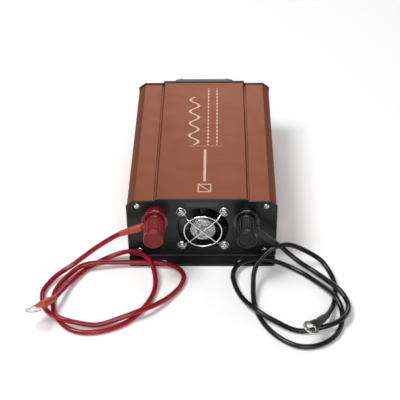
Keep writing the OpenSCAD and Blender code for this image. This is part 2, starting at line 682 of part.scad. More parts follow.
module outlet_lid() color([0.09, 0.09, 0.1]) at_outlet() difference() {
    union() {
        translate([0, hinge_y, hinge_z]) xcyl(knuckle_r, lid_w);
        translate([-lid_w / 2, outlet_out + lid_gap, hinge_z - lid_h]) cube([lid_w, lid_t, lid_h]);
    }
    translate([0, hinge_y, hinge_z]) xcyl(hinge_r + fit, lid_w + 2);
    translate([0, outlet_out + lid_gap + lid_t, hinge_z - lid_h + 4]) xcyl(0.8, 18);
}

module outlet_lid_pin() color("silver") at_outlet() translate([0, hinge_y, hinge_z])
    xcyl(hinge_r, lid_w + 2 * gap + 2 * ear_t);

module outlet_screws() color("silver") at_outlet() for (s = [-1, 1]) translate([s * outlet_screw_x, 0, 0])
    difference() {
        union() {
            ycyl(2.9, 1.4, outlet_out - 1.6);
            ycyl(1.5, outlet_out + 6, -8 + e);
            translate([0, -panel_t - 2.4, 0]) rotate([-90, 0, 0]) cylinder(d = 6.2, h = 2.4, $fn = 6);
        }
        for (a = [45, 135]) rotate([0, a, 0]) face_box(3.4, 0.7, outlet_out - 0.9, 2);
    }

rocker_w = switch_w - 3;
rocker_tilt = 10;
pivot_y = -1;
module switch_bezel() color([0.06, 0.06, 0.06]) at_switch() difference() {
    union() {
        face_box(switch_w + 2, switch_h + 2, 0, 2);
        face_box(switch_w, switch_h, -15, 15 + e);
        for (x = [-2.5, 2.5]) translate([x, 0, 0]) face_box(0.8, 4.8, -22, 8);
    }
    face_box(rocker_w + 0.6, switch_h - 2.2, -9, 20);
    translate([0, pivot_y, 0]) xcyl(1.25, rocker_w + 2.2);
}

module switch_rocker() color([0.1, 0.1, 0.1]) at_switch() translate([0, pivot_y, 0])
        rotate([-rocker_tilt, 0, 0]) {
    translate([-rocker_w / 2, 0, 0]) rotate([90, 0, 90]) linear_extrude(rocker_w)
        polygon([[-4, -4.5], [2.6, -7.7], [3.9, -7.4], [3.3, 0], [3.9, 7.4], [2.6, 7.7], [-4, 4.5]]);
    xcyl(1.2, rocker_w + 2);
}

module usb_shell() color("silver") at_usb() difference() {
    face_box(usb_w, usb_h, -16, 16.8);
    face_box(usb_w - 0.8, usb_h - 0.8, -15.5, 20);
}
module usb_tongue() color("white") at_usb() translate([0, 0, 0.9]) {
    face_box(usb_w - 2.4, 1.8, -13, 12.4);
    translate([0, 0, -0.9]) face_box(usb_w - 0.8, usb_h - 0.8, -15.5, 2.5);
}

module led() {
    ycyl(led_r, 4, -3);
    translate([0, 1, 0]) sphere(led_r);
    ycyl(led_r + 0.45, 3, -panel_t - 3);
}
module power_led() color([0.2, 0.7, 0.3]) at_led(-1) led();
module fault_led() color([0.8, 0.15, 0.12]) at_led(1) led();

module earth_terminal() color("silver") at_earth() {
    ycyl(2.4, 24, -11);
    translate([0, 1.2, 0]) rotate([-90, 0, 0]) cylinder(d = 9.2, h = 4, $fn = 6);
    ycyl(5, 1.2);
    translate([0, -panel_t - 4, 0]) rotate([-90, 0, 0]) cylinder(d = 9.2, h = 4, $fn = 6);
}

// ---- inside --------------------------------------------------------------------------

board_front = front_y + panel_t + fan_depth + 5;
board_back = rear_y - 26;
top_z = board_z + board_t;

// places parts on the main board: x across, y back from its front edge
module on_board(x, y) translate([x, board_front + y, top_z]) children();

module main_board() color([0.1, 0.35, 0.16])
    translate([-half_w + wall + 1, board_front, board_z])
        cube([case_w - 2 * wall - 2, board_back - board_front, board_t]);

core_w = 46;
core_t = 14;
core_h = 38;
module transformer_core() color([0.2, 0.2, 0.22]) on_board(-8, 52) difference() {
    translate([-core_w / 2, -core_t / 2, 0]) cube([core_w, core_t, core_h]);
    for (s = [-1, 1]) translate([s * core_w * 0.27 - core_w * 0.12, -core_t, core_w * 0.16])
        cube([core_w * 0.24, 2 * core_t, core_h - core_w * 0.32]);
}
module transformer_winding() color([0.75, 0.6, 0.2]) on_board(-8, 52) {
    z0 = core_w * 0.16 + 0.3;
    h = core_h - core_w * 0.32 - 0.6;
    difference() {
        translate([-core_w * 0.37, -core_t / 2 - core_w * 0.2, z0])
            cube([core_w * 0.74, core_t + core_w * 0.4, h]);
        translate([-core_w * 0.15 - 0.2, -core_t / 2 - 0.2, z0 - 1])
            cube([core_w * 0.3 + 0.4, core_t + 0.4, h + 2]);
        for (s = [-1, 1]) translate([s * (core_w * 0.38 + 5) - 5, -core_t / 2 - 0.2, z0 - 1])
            cube([10, core_t + 0.4, h + 2]);
    }
}
module input_capacitors() color([0.12, 0.14, 0.3]) for (i = [0:2]) on_board(-34 + 20 * i, 18)
    cylinder(d = 16, h = 32);
module bus_capacitors() color([0.15, 0.12, 0.12]) for (s = [-1, 1]) on_board(34, 74 + 13.5 * s)
    cylinder(d = 25, h = 40);
module output_inductor() color([0.72, 0.4, 0.15]) on_board(-34, 128) translate([0, 0, 7])
    rotate_extrude() translate([13, 0]) circle(7);
transistor_at = [for (i = [0:5]) 30 + 19 * i];
module power_transistors() color([0.1, 0.1, 0.1]) for (s = [-1, 1], y = transistor_at)
    on_board(s * (half_w - wall - 2.5), y) translate([-2.3, -5, 4]) cube([4.6, 10, 16]);
module clamp_bars() color("silver") for (s = [-1, 1]) on_board(s * (half_w - wall - 6.3), 0)
    translate([-1.5, transistor_at[0] - 8, 8]) cube([3, transistor_at[5] - transistor_at[0] + 16, 8]);
module control_board() color([0.1, 0.3, 0.5]) on_board(-6, 96) {
    translate([-28, 0, 0]) cube([56, board_t, 34]);
    for (x = [-18, -2, 14]) translate([x, -2.4, 10]) cube([9, 2.4, 12]);
}
module blade_fuses() color([0.85, 0.5, 0.1]) for (i = [-1:1]) on_board(44, 14 + 8 * i)
    translate([-9.5, -2.5, 0]) cube([19, 5, 18]);
module ac_leads() color([0.45, 0.25, 0.12]) for (s = [-1, 1]) {
    y = rear_y + outlet_out - recess_depth - insert_t - 11;
    swept_lead([[s * contact_pitch / 2, y, outlet_z], [s * contact_pitch / 2, y - 8, outlet_z - 1],
        [s * 11, y - 16, outlet_z - 7], [s * 12, y - 21, top_z + 8], [s * 12, y - 23, top_z]], 1.5, steps = 3);
}

upper_shell();
lower_shell();
front_panel();
rear_panel();
front_panel_screws();
rear_panel_screws();
fan_frame();
fan_rotor();
fan_hub_cap();
fan_guard();
fan_screws();
fan_nuts();
fan_lead();
red_post_base();
red_post_stud();
red_post_washer();
red_post_knob();
red_post_nut();
black_post_base();
black_post_stud();
black_post_washer();
black_post_knob();
black_post_nut();
red_cable();
red_post_lug();
red_post_sleeve();
red_battery_lug();
red_battery_sleeve();
black_cable();
black_post_lug();
black_post_sleeve();
black_battery_lug();
black_battery_sleeve();
outlet_housing();
outlet_insert();
outlet_contacts();
outlet_earth_clips();
outlet_lid();
outlet_lid_pin();
outlet_screws();
switch_bezel();
switch_rocker();
usb_shell();
usb_tongue();
power_led();
fault_led();
earth_terminal();
main_board();
transformer_core();
transformer_winding();
input_capacitors();
bus_capacitors();
output_inductor();
power_transistors();
clamp_bars();
control_board();
blade_fuses();
red_inner_lead();
black_inner_lead();
ac_leads();
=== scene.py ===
"""Looks of a desktop power inverter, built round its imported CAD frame.

Every length is in metres in the frame's own axes: +X right, +Z up, and the battery posts face -Y.
"""

import logging
import math
from collections.abc import Callable, Sequence
from dataclasses import dataclass, field
from enum import Enum

import bmesh
import bpy
import numpy as np
from mathutils import Matrix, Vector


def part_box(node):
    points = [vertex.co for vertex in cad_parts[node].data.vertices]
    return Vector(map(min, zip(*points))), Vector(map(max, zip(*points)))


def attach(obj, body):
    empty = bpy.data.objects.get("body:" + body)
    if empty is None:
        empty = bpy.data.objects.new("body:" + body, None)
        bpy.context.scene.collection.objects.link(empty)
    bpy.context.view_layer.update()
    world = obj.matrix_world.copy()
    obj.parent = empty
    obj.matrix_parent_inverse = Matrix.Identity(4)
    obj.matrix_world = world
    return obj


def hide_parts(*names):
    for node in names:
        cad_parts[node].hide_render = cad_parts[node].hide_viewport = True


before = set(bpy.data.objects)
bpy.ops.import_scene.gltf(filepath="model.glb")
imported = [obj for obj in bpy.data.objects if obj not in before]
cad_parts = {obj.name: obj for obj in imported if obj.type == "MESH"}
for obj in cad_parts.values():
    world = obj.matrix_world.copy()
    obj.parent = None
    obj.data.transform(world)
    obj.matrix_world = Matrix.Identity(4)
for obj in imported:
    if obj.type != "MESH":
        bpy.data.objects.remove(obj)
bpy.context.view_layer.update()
MM = 0.001
TURN = 2 * math.pi
LOG = logging.getLogger("inverter")
Array = np.ndarray
Colour = tuple[float, float, float]


class Pole(Enum):
    """The two battery poles: the side that each is on, and the first word of its nodes' names."""

    RED = -1
    BLACK = 1

    def node(self, part: str) -> str:
        """The CAD node of this pole's part."""
        return f"{self.name.lower()}_{part}"


class Grain(Enum):
    """How a finish varies over its surface."""

    SPECKLED = "fine even grain"
    DRAWN = "fine lines along the part's length"
    PEEL = "soft orange peel of a baked coating"
    # Its colour is darker along the creases: painted shade.
    CRINKLED = "foil with flat crinkles"
    CLOUDED = "broad soft patches"
    # Its colour is darker between the turns and lighter on their crests: painted shade and painted highlight.
    WOUND = "closely wound wire"
    TRACKED = "copper tracks under a solder mask"


# ---- shader expressions --------------------------------------------------------------


class Value:
    """A number socket of a shader tree. Sums and products of it add Math nodes."""

    def __init__(self, tree: "Tree", socket: bpy.types.NodeSocket) -> None:
        """Keeps the tree and the socket."""
        self.tree = tree
        self.socket = socket

    def math(self, operation: str, *others: "Value | float", clamp: bool = False) -> "Value":
        """Adds one Math node.

        Args:
            operation: the Math node's operation.
            others: its second and third inputs.
            clamp: whether the result is kept from 0 to 1.

        Returns:
            The node's result.
        """
        inputs = dict(enumerate((self, *others)))
        return self.tree.node("ShaderNodeMath", {"operation": operation, "use_clamp": clamp}, inputs)[0]

    def __add__(self, other: "Value | float") -> "Value":
        """self + other."""
        return self.math("ADD", other)

    def __sub__(self, other: "Value | float") -> "Value":
        """self - other."""
        return self.math("SUBTRACT", other)

    def __mul__(self, other: "Value | float") -> "Value":
        """self * other."""
        return self.math("MULTIPLY", other)

    def __abs__(self) -> "Value":
        """The size of self without its sign."""
        return self.math("ABSOLUTE")

    def __lt__(self, other: "Value | float") -> "Value":
        """1 where self is below other, and 0 elsewhere."""
        return self.math("LESS_THAN", other)

    def __gt__(self, other: "Value | float") -> "Value":
        """1 where self is over other, and 0 elsewhere."""
        return self.math("GREATER_THAN", other)

    def ramp(self, low: float, high: float) -> "Value":
        """A smooth step: 0 up to low, 1 from high, and a soft curve between."""
        settings = {"interpolation_type": "SMOOTHSTEP"}
        return self.tree.node("ShaderNodeMapRange", settings, {0: self, 1: low, 2: high})[0]


class Node:
    """A node just added, whose outputs are read by name or number."""

    def __init__(self, tree: "Tree", node: bpy.types.Node) -> None:
        """Keeps the tree and the node."""
        self.tree = tree
        self.inner = node

    def __getitem__(self, key: str | int) -> Value:
        """The output of that name or number."""
        return Value(self.tree, self.inner.outputs[key])


class Tree:
    """The node tree of one material, filled by expressions."""

    def __init__(self, name: str) -> None:
        """Makes an empty material.

        Args:
            name: the material's name.
        """
        self.material = bpy.data.materials.new(name)
        self.material.use_nodes = True
        self.material.node_tree.nodes.clear()

    def node(self, kind: str, settings: dict | None = None, inputs: dict | None = None) -> Node:
        """Adds a node.

        Args:
            kind: the node's type.
            settings: its own properties, and "stops" for a colour ramp; they are set first.
            inputs: values or links by the socket's name or number.

        Returns:
            The node, for its outputs.
        """
        made = self.material.node_tree.nodes.new(kind)
        for key, value in (settings or {}).items():
            if key == "stops":
                ramp = made.color_ramp
                while len(ramp.elements) < len(value):
                    ramp.elements.new(0.5)
                for element, (place, colour) in zip(ramp.elements, value):
                    element.position, element.color = place, (*colour, 1.0)
            else:
                setattr(made, key, value)
        for key, value in (inputs or {}).items():
            if isinstance(value, Value):
                self.material.node_tree.links.new(value.socket, made.inputs[key])
            else:
                socket = made.inputs[key]
                colour = socket.type == "RGBA" and len(value) == 3
                socket.default_value = (*value, 1.0) if colour else value
        return Node(self, made)

    def place(self, scale: Colour = (1.0, 1.0, 1.0)) -> Value:
        """The piece's own coordinates in metres, stretched."""
        own = self.node("ShaderNodeTexCoord")["Object"]
        return self.node("ShaderNodeMapping", None, {0: own, 3: scale})[0]

    def axes(self) -> tuple[Value, Value, Value]:
        """The piece's own coordinates as three numbers."""
        parts = self.node("ShaderNodeSeparateXYZ", None, {0: self.place()})
        return parts[0], parts[1], parts[2]

    def noise(self, scale: float, detail: float = 3.0, rough: float = 0.5, at: Value | None = None) -> Value:
        """Smooth noise from 0 to 1, scale bumps to the metre."""
        inputs = {"Vector": at or self.place(), "Scale": scale, "Detail": detail, "Roughness": rough}
        return self.node("ShaderNodeTexNoise", None, inputs)["Fac"]

    def cells(self, scale: float, feature: str = "F1", at: Value | None = None) -> Node:
        """Cell noise, scale cells to the metre."""
        inputs = {"Vector": at or self.place(), "Scale": scale}
        return self.node("ShaderNodeTexVoronoi", {"feature": feature}, inputs)

    def mix(self, factor: Value, first: "Value | Colour", second: "Value | Colour") -> Value:
        """A colour between two, by a factor from 0 to 1."""
        inputs = {0: factor, 6: first, 7: second}
        return self.node("ShaderNodeMix", {"data_type": "RGBA"}, inputs)[2]

    def bump(self, height: Value, depth: float) -> Value:
        """A normal that follows a height from 0 to 1, depth metres deep."""
        inputs = {"Strength": 1.0, "Distance": depth, "Height": height}
        return self.node("ShaderNodeBump", None, inputs)["Normal"]


@dataclass(frozen=True)
class Finish:
    """A finish: two close colours mixed by its grain, a range of roughness and a shallow relief."""

    name: str
    colour: Colour
    second: Colour
    rough: tuple[float, float] = (0.4, 0.55)
    metal: float = 0.0
    grain: Grain = Grain.SPECKLED
    scale: float = 900.0
    relief: float = 0.00004
    coat: float = 0.0
    coat_rough: float = 0.1
    soft: float = 0.0
    specular: float = 0.5
    worn: Colour | None = None

    def pattern(self, tree: Tree) -> tuple[Value, Value]:
        """The grain as two values from 0 to 1.

        Args:
            tree: the material's tree.

        Returns:
            What varies the colour, which for crinkled foil and wound wire also holds painted shade, and the
            height of the relief.
        """
        fine = tree.noise(self.scale, 4.0, 0.6)
        broad = tree.noise(38.0, 3.0, 0.55)
        match self.grain:
            case Grain.DRAWN:
                lines = tree.noise(self.scale, 3.0, 0.7, tree.place((1.0, 0.012, 1.0)))
                return (lines * 0.6 + broad * 0.4).ramp(0.25, 0.8), lines
            case Grain.PEEL:
                peel = tree.noise(self.scale, 2.0, 0.4)
                return (broad * 0.6 + fine * 0.4).ramp(0.3, 0.75), peel
            case Grain.CRINKLED:
                folds = tree.cells(self.scale, "DISTANCE_TO_EDGE")["Distance"].ramp(0.0, 0.25)
                # The colour is darker along the crease lines, painted shade where the foil folds, mixed half
                # and half with random fine tone.
                return (folds * 0.5 + fine * 0.5), folds
            case Grain.CLOUDED:
                return broad.ramp(0.3, 0.7), fine
            case Grain.WOUND:
                x, y, _z = tree.axes()
                turns = ((x + y) * self.scale).math("SINE") * 0.5 + 0.5
                # Colour and relief are the same stripes: darker between the turns as painted shade, lighter
                # on the crests as painted highlight.
                return turns, turns
            case Grain.TRACKED:
                tracks = tree.cells(170.0, "F1", tree.place((1.0, 0.25, 1.0)))["Distance"].ramp(0.42, 0.46)
                return tracks, tracks
            case _:
                return (fine * 0.5 + broad * 0.5).ramp(0.3, 0.7), fine

    def principled(self, tree: Tree, colour: Value, rough: Value, normal: Value) -> None:
        """Joins the worked-out values to the shader and the output.

        Args:
            tree: the material's tree.
            colour: the base colour.
            rough: the roughness.
            normal: the bumped normal.
        """
        inputs = {"Base Color": colour, "Roughness": rough, "Normal": normal, "Metallic": self.metal,
                  "Coat Weight": self.coat, "Coat Roughness": self.coat_rough,
                  "Subsurface Weight": self.soft, "Subsurface Scale": 0.002,
                  "Specular IOR Level": self.specular}
        shader = tree.node("ShaderNodeBsdfPrincipled", None, inputs)
        tree.node("ShaderNodeOutputMaterial", None, {0: shader[0]})

    def colours(self, tree: Tree, shade: Value) -> Value:
        """The base colour from the two colours, with rubbed patches where the finish is worn."""
        base = tree.mix(shade, self.colour, self.second)
        if self.worn is None:
            return base
        rubbed = tree.noise(210.0, 5.0, 0.7).ramp(0.56, 0.72)
        return tree.mix(rubbed * 0.5, base, self.worn)

    def material(self) -> bpy.types.Material:
        """The finish as a material, made once.

        Returns:
            The material of this finish's name.
        """
        known = bpy.data.materials.get(self.name)
        if known:
            return known
        tree = Tree(self.name)
        shade, height = self.pattern(tree)
        smudge = tree.noise(60.0, 4.0, 0.6).ramp(0.25, 0.8)
        low, high = self.rough
        rough = (smudge * 0.6 + shade * 0.4) * (high - low) + low
        self.principled(tree, self.colours(tree, shade), rough, tree.bump(height, self.relief))
        return tree.material


@dataclass(frozen=True)
class CoverFinish(Finish):
    """The cover's satin anodised finish, with plain marks on its raised middle and no lettering.

    The marks are a square cut by its diagonal, a straight bar for direct current, a wave for
    alternating current, a thin rule across and two broken rules along.
    """

    ink: Colour = (0.58, 0.40, 0.30)
    top: float = 0.0675
    square: tuple[float, float, float] = (0.0025, -0.0745, 0.0058)
    bar: tuple[float, float, float, float] = (0.0025, -0.0640, -0.0120, 0.0012)
    across: tuple[float, float, float, float] = (-0.0134, 0.0175, -0.0060, 0.0002)
    wave: tuple[float, float, float] = (-0.0090, -0.0040, 0.0840)
    wave_height: float = 0.0046
    wave_length: float = 0.0220
    broken: tuple[tuple[float, float, float], ...] = ((0.0052, -0.0040, 0.1020), (0.0140, -0.0040, 0.1020))
    stroke: float = 0.0006

    def stretch(self, value: Value, low: float, high: float) -> Value:
        """1 where the value is from low to high, and 0 elsewhere."""
        return (value > low) * (value < high)

    def marks(self, x: Value, y: Value) -> Value:
        """Where there is ink, from the two coordinates on the cover.

        Args:
            x: across the case.
            y: along it.

        Returns:
            0 for bare metal and 1 or more for ink.
        """
        sx, sy, half = self.square
        out = abs(x - sx).math("MAXIMUM", abs(y - sy))
        drawn = self.stretch(out, half - self.stroke, half + self.stroke)
        drawn = drawn + (abs((x - sx) + (y - sy)) < self.stroke) * (out < half)
        bx, low, high, wide = self.bar
        drawn = drawn + (abs(x - bx) < wide) * self.stretch(y, low, high)
        left, right, ay, thin = self.across
        drawn = drawn + (abs(y - ay) < thin) * self.stretch(x, left, right)
        wx, low, high = self.wave
        swing = ((y - low) * (TURN / self.wave_length)).math("SINE") * self.wave_height
        drawn = drawn + (abs(x - wx - swing) < 2 * self.stroke) * self.stretch(y, low, high)
        for rx, low, high in self.broken:
            dash = (y * 160.0).math("FRACT") < 0.72
            drawn = drawn + (abs(x - rx) < self.stroke) * self.stretch(y, low, high) * dash
        return drawn

    def colours(self, tree: Tree, shade: Value) -> Value:
        """The anodised colour with the marks over it."""
        x, y, z = tree.axes()
        base = tree.mix(shade, self.colour, self.second)
        return tree.mix((self.marks(x, y) * (z > self.top)).math("MINIMUM", 0.92), base, self.ink)


# ---- finishes ------------------------------------------------------------------------

COVER = CoverFinish("copper_anodised_cover", (0.190, 0.046, 0.012), (0.228, 0.059, 0.017), (0.38, 0.50),
                    0.5, Grain.DRAWN, 5200.0, 0.000012, specular=0.3)
PANEL = Finish("black_coated_panel", (0.0065, 0.0065, 0.0070), (0.0110, 0.0110, 0.0115), (0.34, 0.48),
               0.0, Grain.PEEL, 2600.0, 0.00003, specular=0.4)
LABEL = Finish("blank_label_film", (0.016, 0.018, 0.018), (0.024, 0.026, 0.026), (0.30, 0.42),
               0.0, Grain.CLOUDED, 1800.0, 0.00001, specular=0.5)
ZINC = Finish("bright_plated_screw", (0.40, 0.40, 0.40), (0.62, 0.62, 0.61), (0.14, 0.30),
              1.0, Grain.CLOUDED, 1500.0, 0.00001)
CHROME = Finish("bright_guard_wire", (0.80, 0.80, 0.80), (0.92, 0.92, 0.92), (0.08, 0.2),
                1.0, Grain.CLOUDED, 1200.0, 0.00001)
FAN = Finish("black_fan_moulding", (0.010, 0.010, 0.011), (0.018, 0.018, 0.019), (0.35, 0.5),
             0.0, Grain.SPECKLED, 3000.0, 0.00001)
# The darker colour is painted shade in the hub foil's creases; the mix also carries random fine tone.
FOIL = Finish("silver_hub_foil", (0.26, 0.26, 0.27), (0.66, 0.66, 0.67), (0.14, 0.40),
              1.0, Grain.CRINKLED, 420.0, 0.0003)
RED_BASE = Finish("dark_red_base", (0.130, 0.004, 0.009), (0.180, 0.006, 0.012), (0.12, 0.24),
                  0.0, Grain.SPECKLED, 1600.0, 0.00001, specular=0.6)
RED_KNOB = Finish("red_knob_moulding", (0.150, 0.007, 0.008), (0.200, 0.013, 0.014), (0.34, 0.5),
                  0.0, Grain.SPECKLED, 1500.0, 0.00003, specular=0.3, worn=(0.22, 0.04, 0.036))
BLACK_BASE = Finish("black_base_moulding", (0.0045, 0.0045, 0.0050), (0.0080, 0.0080, 0.0085), (0.12, 0.22),
                    0.0, Grain.SPECKLED, 1600.0, 0.00001, specular=0.6)
BLACK_KNOB = Finish("black_knob_moulding", (0.0055, 0.0055, 0.0060), (0.0100, 0.0100, 0.0105), (0.28, 0.40),
                    0.0, Grain.SPECKLED, 1500.0, 0.00003, specular=0.25, worn=(0.026, 0.026, 0.027))
BRASS = Finish("turned_brass", (0.62, 0.42, 0.16), (0.74, 0.54, 0.24), (0.2, 0.34),
               1.0, Grain.DRAWN, 4000.0, 0.00001)
PLATED = Finish("dull_plated_washer", (0.20, 0.19, 0.18), (0.32, 0.31, 0.30), (0.3, 0.45),
                1.0, Grain.CLOUDED, 1500.0, 0.00001)
RED_WIRE = Finish("red_lead_jacket", (0.225, 0.001, 0.009), (0.285, 0.002, 0.012), (0.18, 0.30),
                  0.0, Grain.CLOUDED, 700.0, 0.00005, specular=0.4)
BLACK_WIRE = Finish("black_lead_jacket", (0.0038, 0.0048, 0.0053), (0.0072, 0.0088, 0.0093), (0.18, 0.30),
                    0.0, Grain.CLOUDED, 700.0, 0.00005, specular=0.4)
TINNED = Finish("tinned_copper_lug", (0.62, 0.61, 0.57), (0.80, 0.79, 0.76), (0.22, 0.42),
                1.0, Grain.CLOUDED, 900.0, 0.00003)
RED_SLEEVE = Finish("red_heat_shrink", (0.370, 0.030, 0.022), (0.460, 0.052, 0.038), (0.34, 0.48),
                    0.0, Grain.CLOUDED, 420.0, 0.00012, soft=0.35)
BLACK_SLEEVE = Finish("black_heat_shrink", (0.016, 0.016, 0.016), (0.026, 0.026, 0.026), (0.4, 0.55),
                      0.0, Grain.CLOUDED, 420.0, 0.00012)
OUTLET = Finish("black_socket_moulding", (0.010, 0.010, 0.011), (0.016, 0.016, 0.017), (0.34, 0.46),
                0.0, Grain.PEEL, 4200.0, 0.00002)
SWITCH = Finish("black_switch_moulding", (0.009, 0.009, 0.009), (0.014, 0.014, 0.014), (0.24, 0.36),
                0.0, Grain.SPECKLED, 2600.0, 0.00001)
NICKEL = Finish("stamped_nickel", (0.60, 0.60, 0.59), (0.72, 0.72, 0.70), (0.24, 0.38),
                1.0, Grain.DRAWN, 3500.0, 0.00001)
WHITE_PLASTIC = Finish("white_insulator", (0.72, 0.72, 0.70), (0.80, 0.80, 0.78), (0.4, 0.5))
GREEN_LAMP = Finish("green_lamp_resin", (0.03, 0.38, 0.08), (0.05, 0.50, 0.12), (0.08, 0.16), soft=0.4)
RED_LAMP = Finish("red_lamp_resin", (0.50, 0.02, 0.015), (0.62, 0.03, 0.02), (0.08, 0.16), soft=0.4)
BOARD = Finish("green_board", (0.006, 0.048, 0.018), (0.016, 0.090, 0.032), (0.3, 0.42),
               0.0, Grain.TRACKED, 900.0, 0.00003, coat=0.3)
FERRITE = Finish("sintered_ferrite", (0.030, 0.030, 0.032), (0.055, 0.055, 0.058), (0.6, 0.8),
                 relief=0.0001)
# The darker colour is painted shade between the turns under the tape, the lighter one a painted highlight on
# their crests.
TAPE = Finish("yellow_winding_tape", (0.60, 0.36, 0.030), (0.72, 0.46, 0.05), (0.3, 0.42),
              grain=Grain.WOUND, scale=1800.0, relief=0.0001)
CAN = Finish("blue_black_can_sleeve", (0.010, 0.014, 0.045), (0.016, 0.022, 0.065), (0.22, 0.34))
# The darker colour is painted shade between the turns, the lighter one a painted highlight on their crests.
ENAMEL = Finish("enamelled_winding", (0.42, 0.12, 0.035), (0.60, 0.22, 0.07), (0.25, 0.4),
                0.7, Grain.WOUND, 4200.0, 0.0003)
EPOXY = Finish("moulded_epoxy", (0.012, 0.012, 0.012), (0.022, 0.022, 0.022), (0.5, 0.62))
BAR = Finish("sawn_aluminium", (0.66, 0.66, 0.67), (0.76, 0.76, 0.77), (0.3, 0.45),
             1.0, Grain.DRAWN, 3000.0, 0.00002)
FUSE = Finish("orange_fuse_body", (0.60, 0.19, 0.012), (0.72, 0.26, 0.02), (0.15, 0.25), soft=0.3)
BROWN_WIRE = Finish("brown_wire_jacket", (0.13, 0.045, 0.014), (0.17, 0.06, 0.02), (0.3, 0.4))
SWEPT_FLOOR = Finish("pale_studio_floor", (0.965, 0.965, 0.965), (0.97, 0.97, 0.97), (0.6, 0.75),
                     grain=Grain.CLOUDED, relief=0.00001)

# ---- shapes --------------------------------------------------------------------------


def unit(vectors: Array) -> Array:
    """Vectors at length 1, over the last axis."""
    return vectors / np.maximum(np.linalg.norm(vectors, axis=-1, keepdims=True), 1e-12)


def angles(count: int) -> Array:
    """Even angles over a turn, without the last, which is the first again."""
    return np.linspace(0.0, TURN, count, endpoint=False)


def soften(corners: Sequence | Array, radius: float | Sequence | Array, steps: int = 4,
           closed: bool = False) -> Array:
    """Rounds the corners of an outline.

    Each corner becomes the quadratic curve (1-t)^2 A + 2t(1-t) P + t^2 B, where A and B lie
    radius away from the corner P along its two sides.

    Args:
        corners: the outline's corners, each of 2 or 3 numbers.
        radius: how far from each corner its curve begins, for all or for each.
        steps: segments of a curve.
        closed: whether the last corner joins the first.

    Returns:
        The rounded outline's points.
    """
    points = np.asarray(corners, float)
    before, after = np.roll(points, 1, 0), np.roll(points, -1, 0)
    if not closed:
        before[0], after[-1] = points[0], points[-1]
    back, on = before - points, after - points
    sides = np.minimum(np.linalg.norm(back, axis=1), np.linalg.norm(on, axis=1))
    cut = np.minimum(np.broadcast_to(radius, len(points)), 0.49 * sides)[:, None]
    first, last = points + unit(back) * cut, points + unit(on) * cut
    t = np.linspace(0.0, 1.0, steps + 1)[None, :, None]
    curve = (1 - t) ** 2 * first[:, None] + 2 * t * (1 - t) * points[:, None] + t * t * last[:, None]
    return curve.reshape(-1, points.shape[1])


@dataclass(frozen=True)
class Stand:
    """A place to build on: a middle, the way the shape points, and the way its side lies."""

    at: Sequence[float]
    along: Sequence[float] = (0.0, -1.0, 0.0)
    side: Sequence[float] = (1.0, 0.0, 0.0)

    def put(self, local: Array) -> Array:
        """Points given by side, up and along, placed: at + side*s + up*u + along*a."""
        along = unit(np.asarray(self.along, float))
        side = np.asarray(self.side, float)
        side = unit(side - along * (side @ along))
        up = np.cross(along, side)
        return np.asarray(self.at, float) + local @ np.stack([side, up, along])

    def moved(self, side: float = 0.0, up: float = 0.0, along: float = 0.0) -> "Stand":
        """The same stand, shifted along its own axes."""
        return Stand(tuple(self.put(np.array([side, up, along]))), self.along, self.side)


def turned(profile: Array, sides: int, wave: Callable[[Array, Array], Array] | None = None) -> Array:
    """A surface of revolution: (r cos a, r sin a, h) for each (r, h) of a profile.

    Args:
        profile: pairs of radius and height.
        sides: columns round the axis.
        wave: a change of radius from the rows' heights and the columns' angles.

    Returns:
        The grid of points, closed in its columns.
    """
    turn = angles(sides)[None, :]
    radius = np.repeat(profile[:, :1], sides, 1)
    if wave is not None:
        radius = radius + wave(profile[:, 1:2], turn)
    height = np.repeat(profile[:, 1:2], sides, 1)
    return np.stack([radius * np.cos(turn), radius * np.sin(turn), height], -1)


def tube(path: Array, radius: float | Array, sides: int, plane: Sequence[float]) -> Array:
    """A round tube along a path: the point, plus r cos a to its side and r sin a up.

    Args:
        path: the centre line's points.
        radius: the tube's radius, for all points or for each.
        sides: columns round it.
        plane: a direction that no stretch of the path runs along.

    Returns:
        The grid of points, closed in its columns.
    """
    run = unit(np.gradient(path, axis=0))
    across = unit(np.cross(run, np.asarray(plane, float)))
    up = np.cross(across, run)
    turn = angles(sides)[None, :, None]
    size = np.broadcast_to(radius, len(path))[:, None, None]
    return path[:, None] + size * (np.cos(turn) * across[:, None] + np.sin(turn) * up[:, None])


def smooth_path(route: Sequence[Sequence[float]], steps: int, lowest: float) -> Array:
    """The Catmull-Rom curve through a route's points, kept at or over a height.

    Args:
        route: the points.
        steps: stretches between two points.
        lowest: the least height of the centre line.

    Returns:
        The curve's points.
    """
    p = np.asarray(route, float)
    q = np.concatenate([2 * p[:1] - p[1:2], p, 2 * p[-1:] - p[-2:-1]])
    p0, p1, p2, p3 = (q[i:len(q) - 3 + i, None] for i in range(4))
    t = np.linspace(0.0, 1.0, steps, endpoint=False)[None, :, None]
    curve = 0.5 * (2 * p1 + (p2 - p0) * t + (2 * p0 - 5 * p1 + 4 * p2 - p3) * t ** 2
                   + (3 * p1 - p0 - 3 * p2 + p3) * t ** 3)
    curve = np.concatenate([curve.reshape(-1, 3), p[-1:]])
    curve[:, 2] = np.maximum(curve[:, 2], lowest)
    return curve


def eased(run: Array, places: Sequence[float], values: Sequence[float]) -> Array:
    """Values between places, each step eased by 3t^2 - 2t^3."""
    places, values = np.asarray(places, float), np.asarray(values, float)
    step = np.clip(np.searchsorted(places, run, side="right") - 1, 0, len(places) - 2)
    t = np.clip((run - places[step]) / (places[step + 1] - places[step]), 0, 1)
    return values[step] + (values[step + 1] - values[step]) * t * t * (3 - 2 * t)


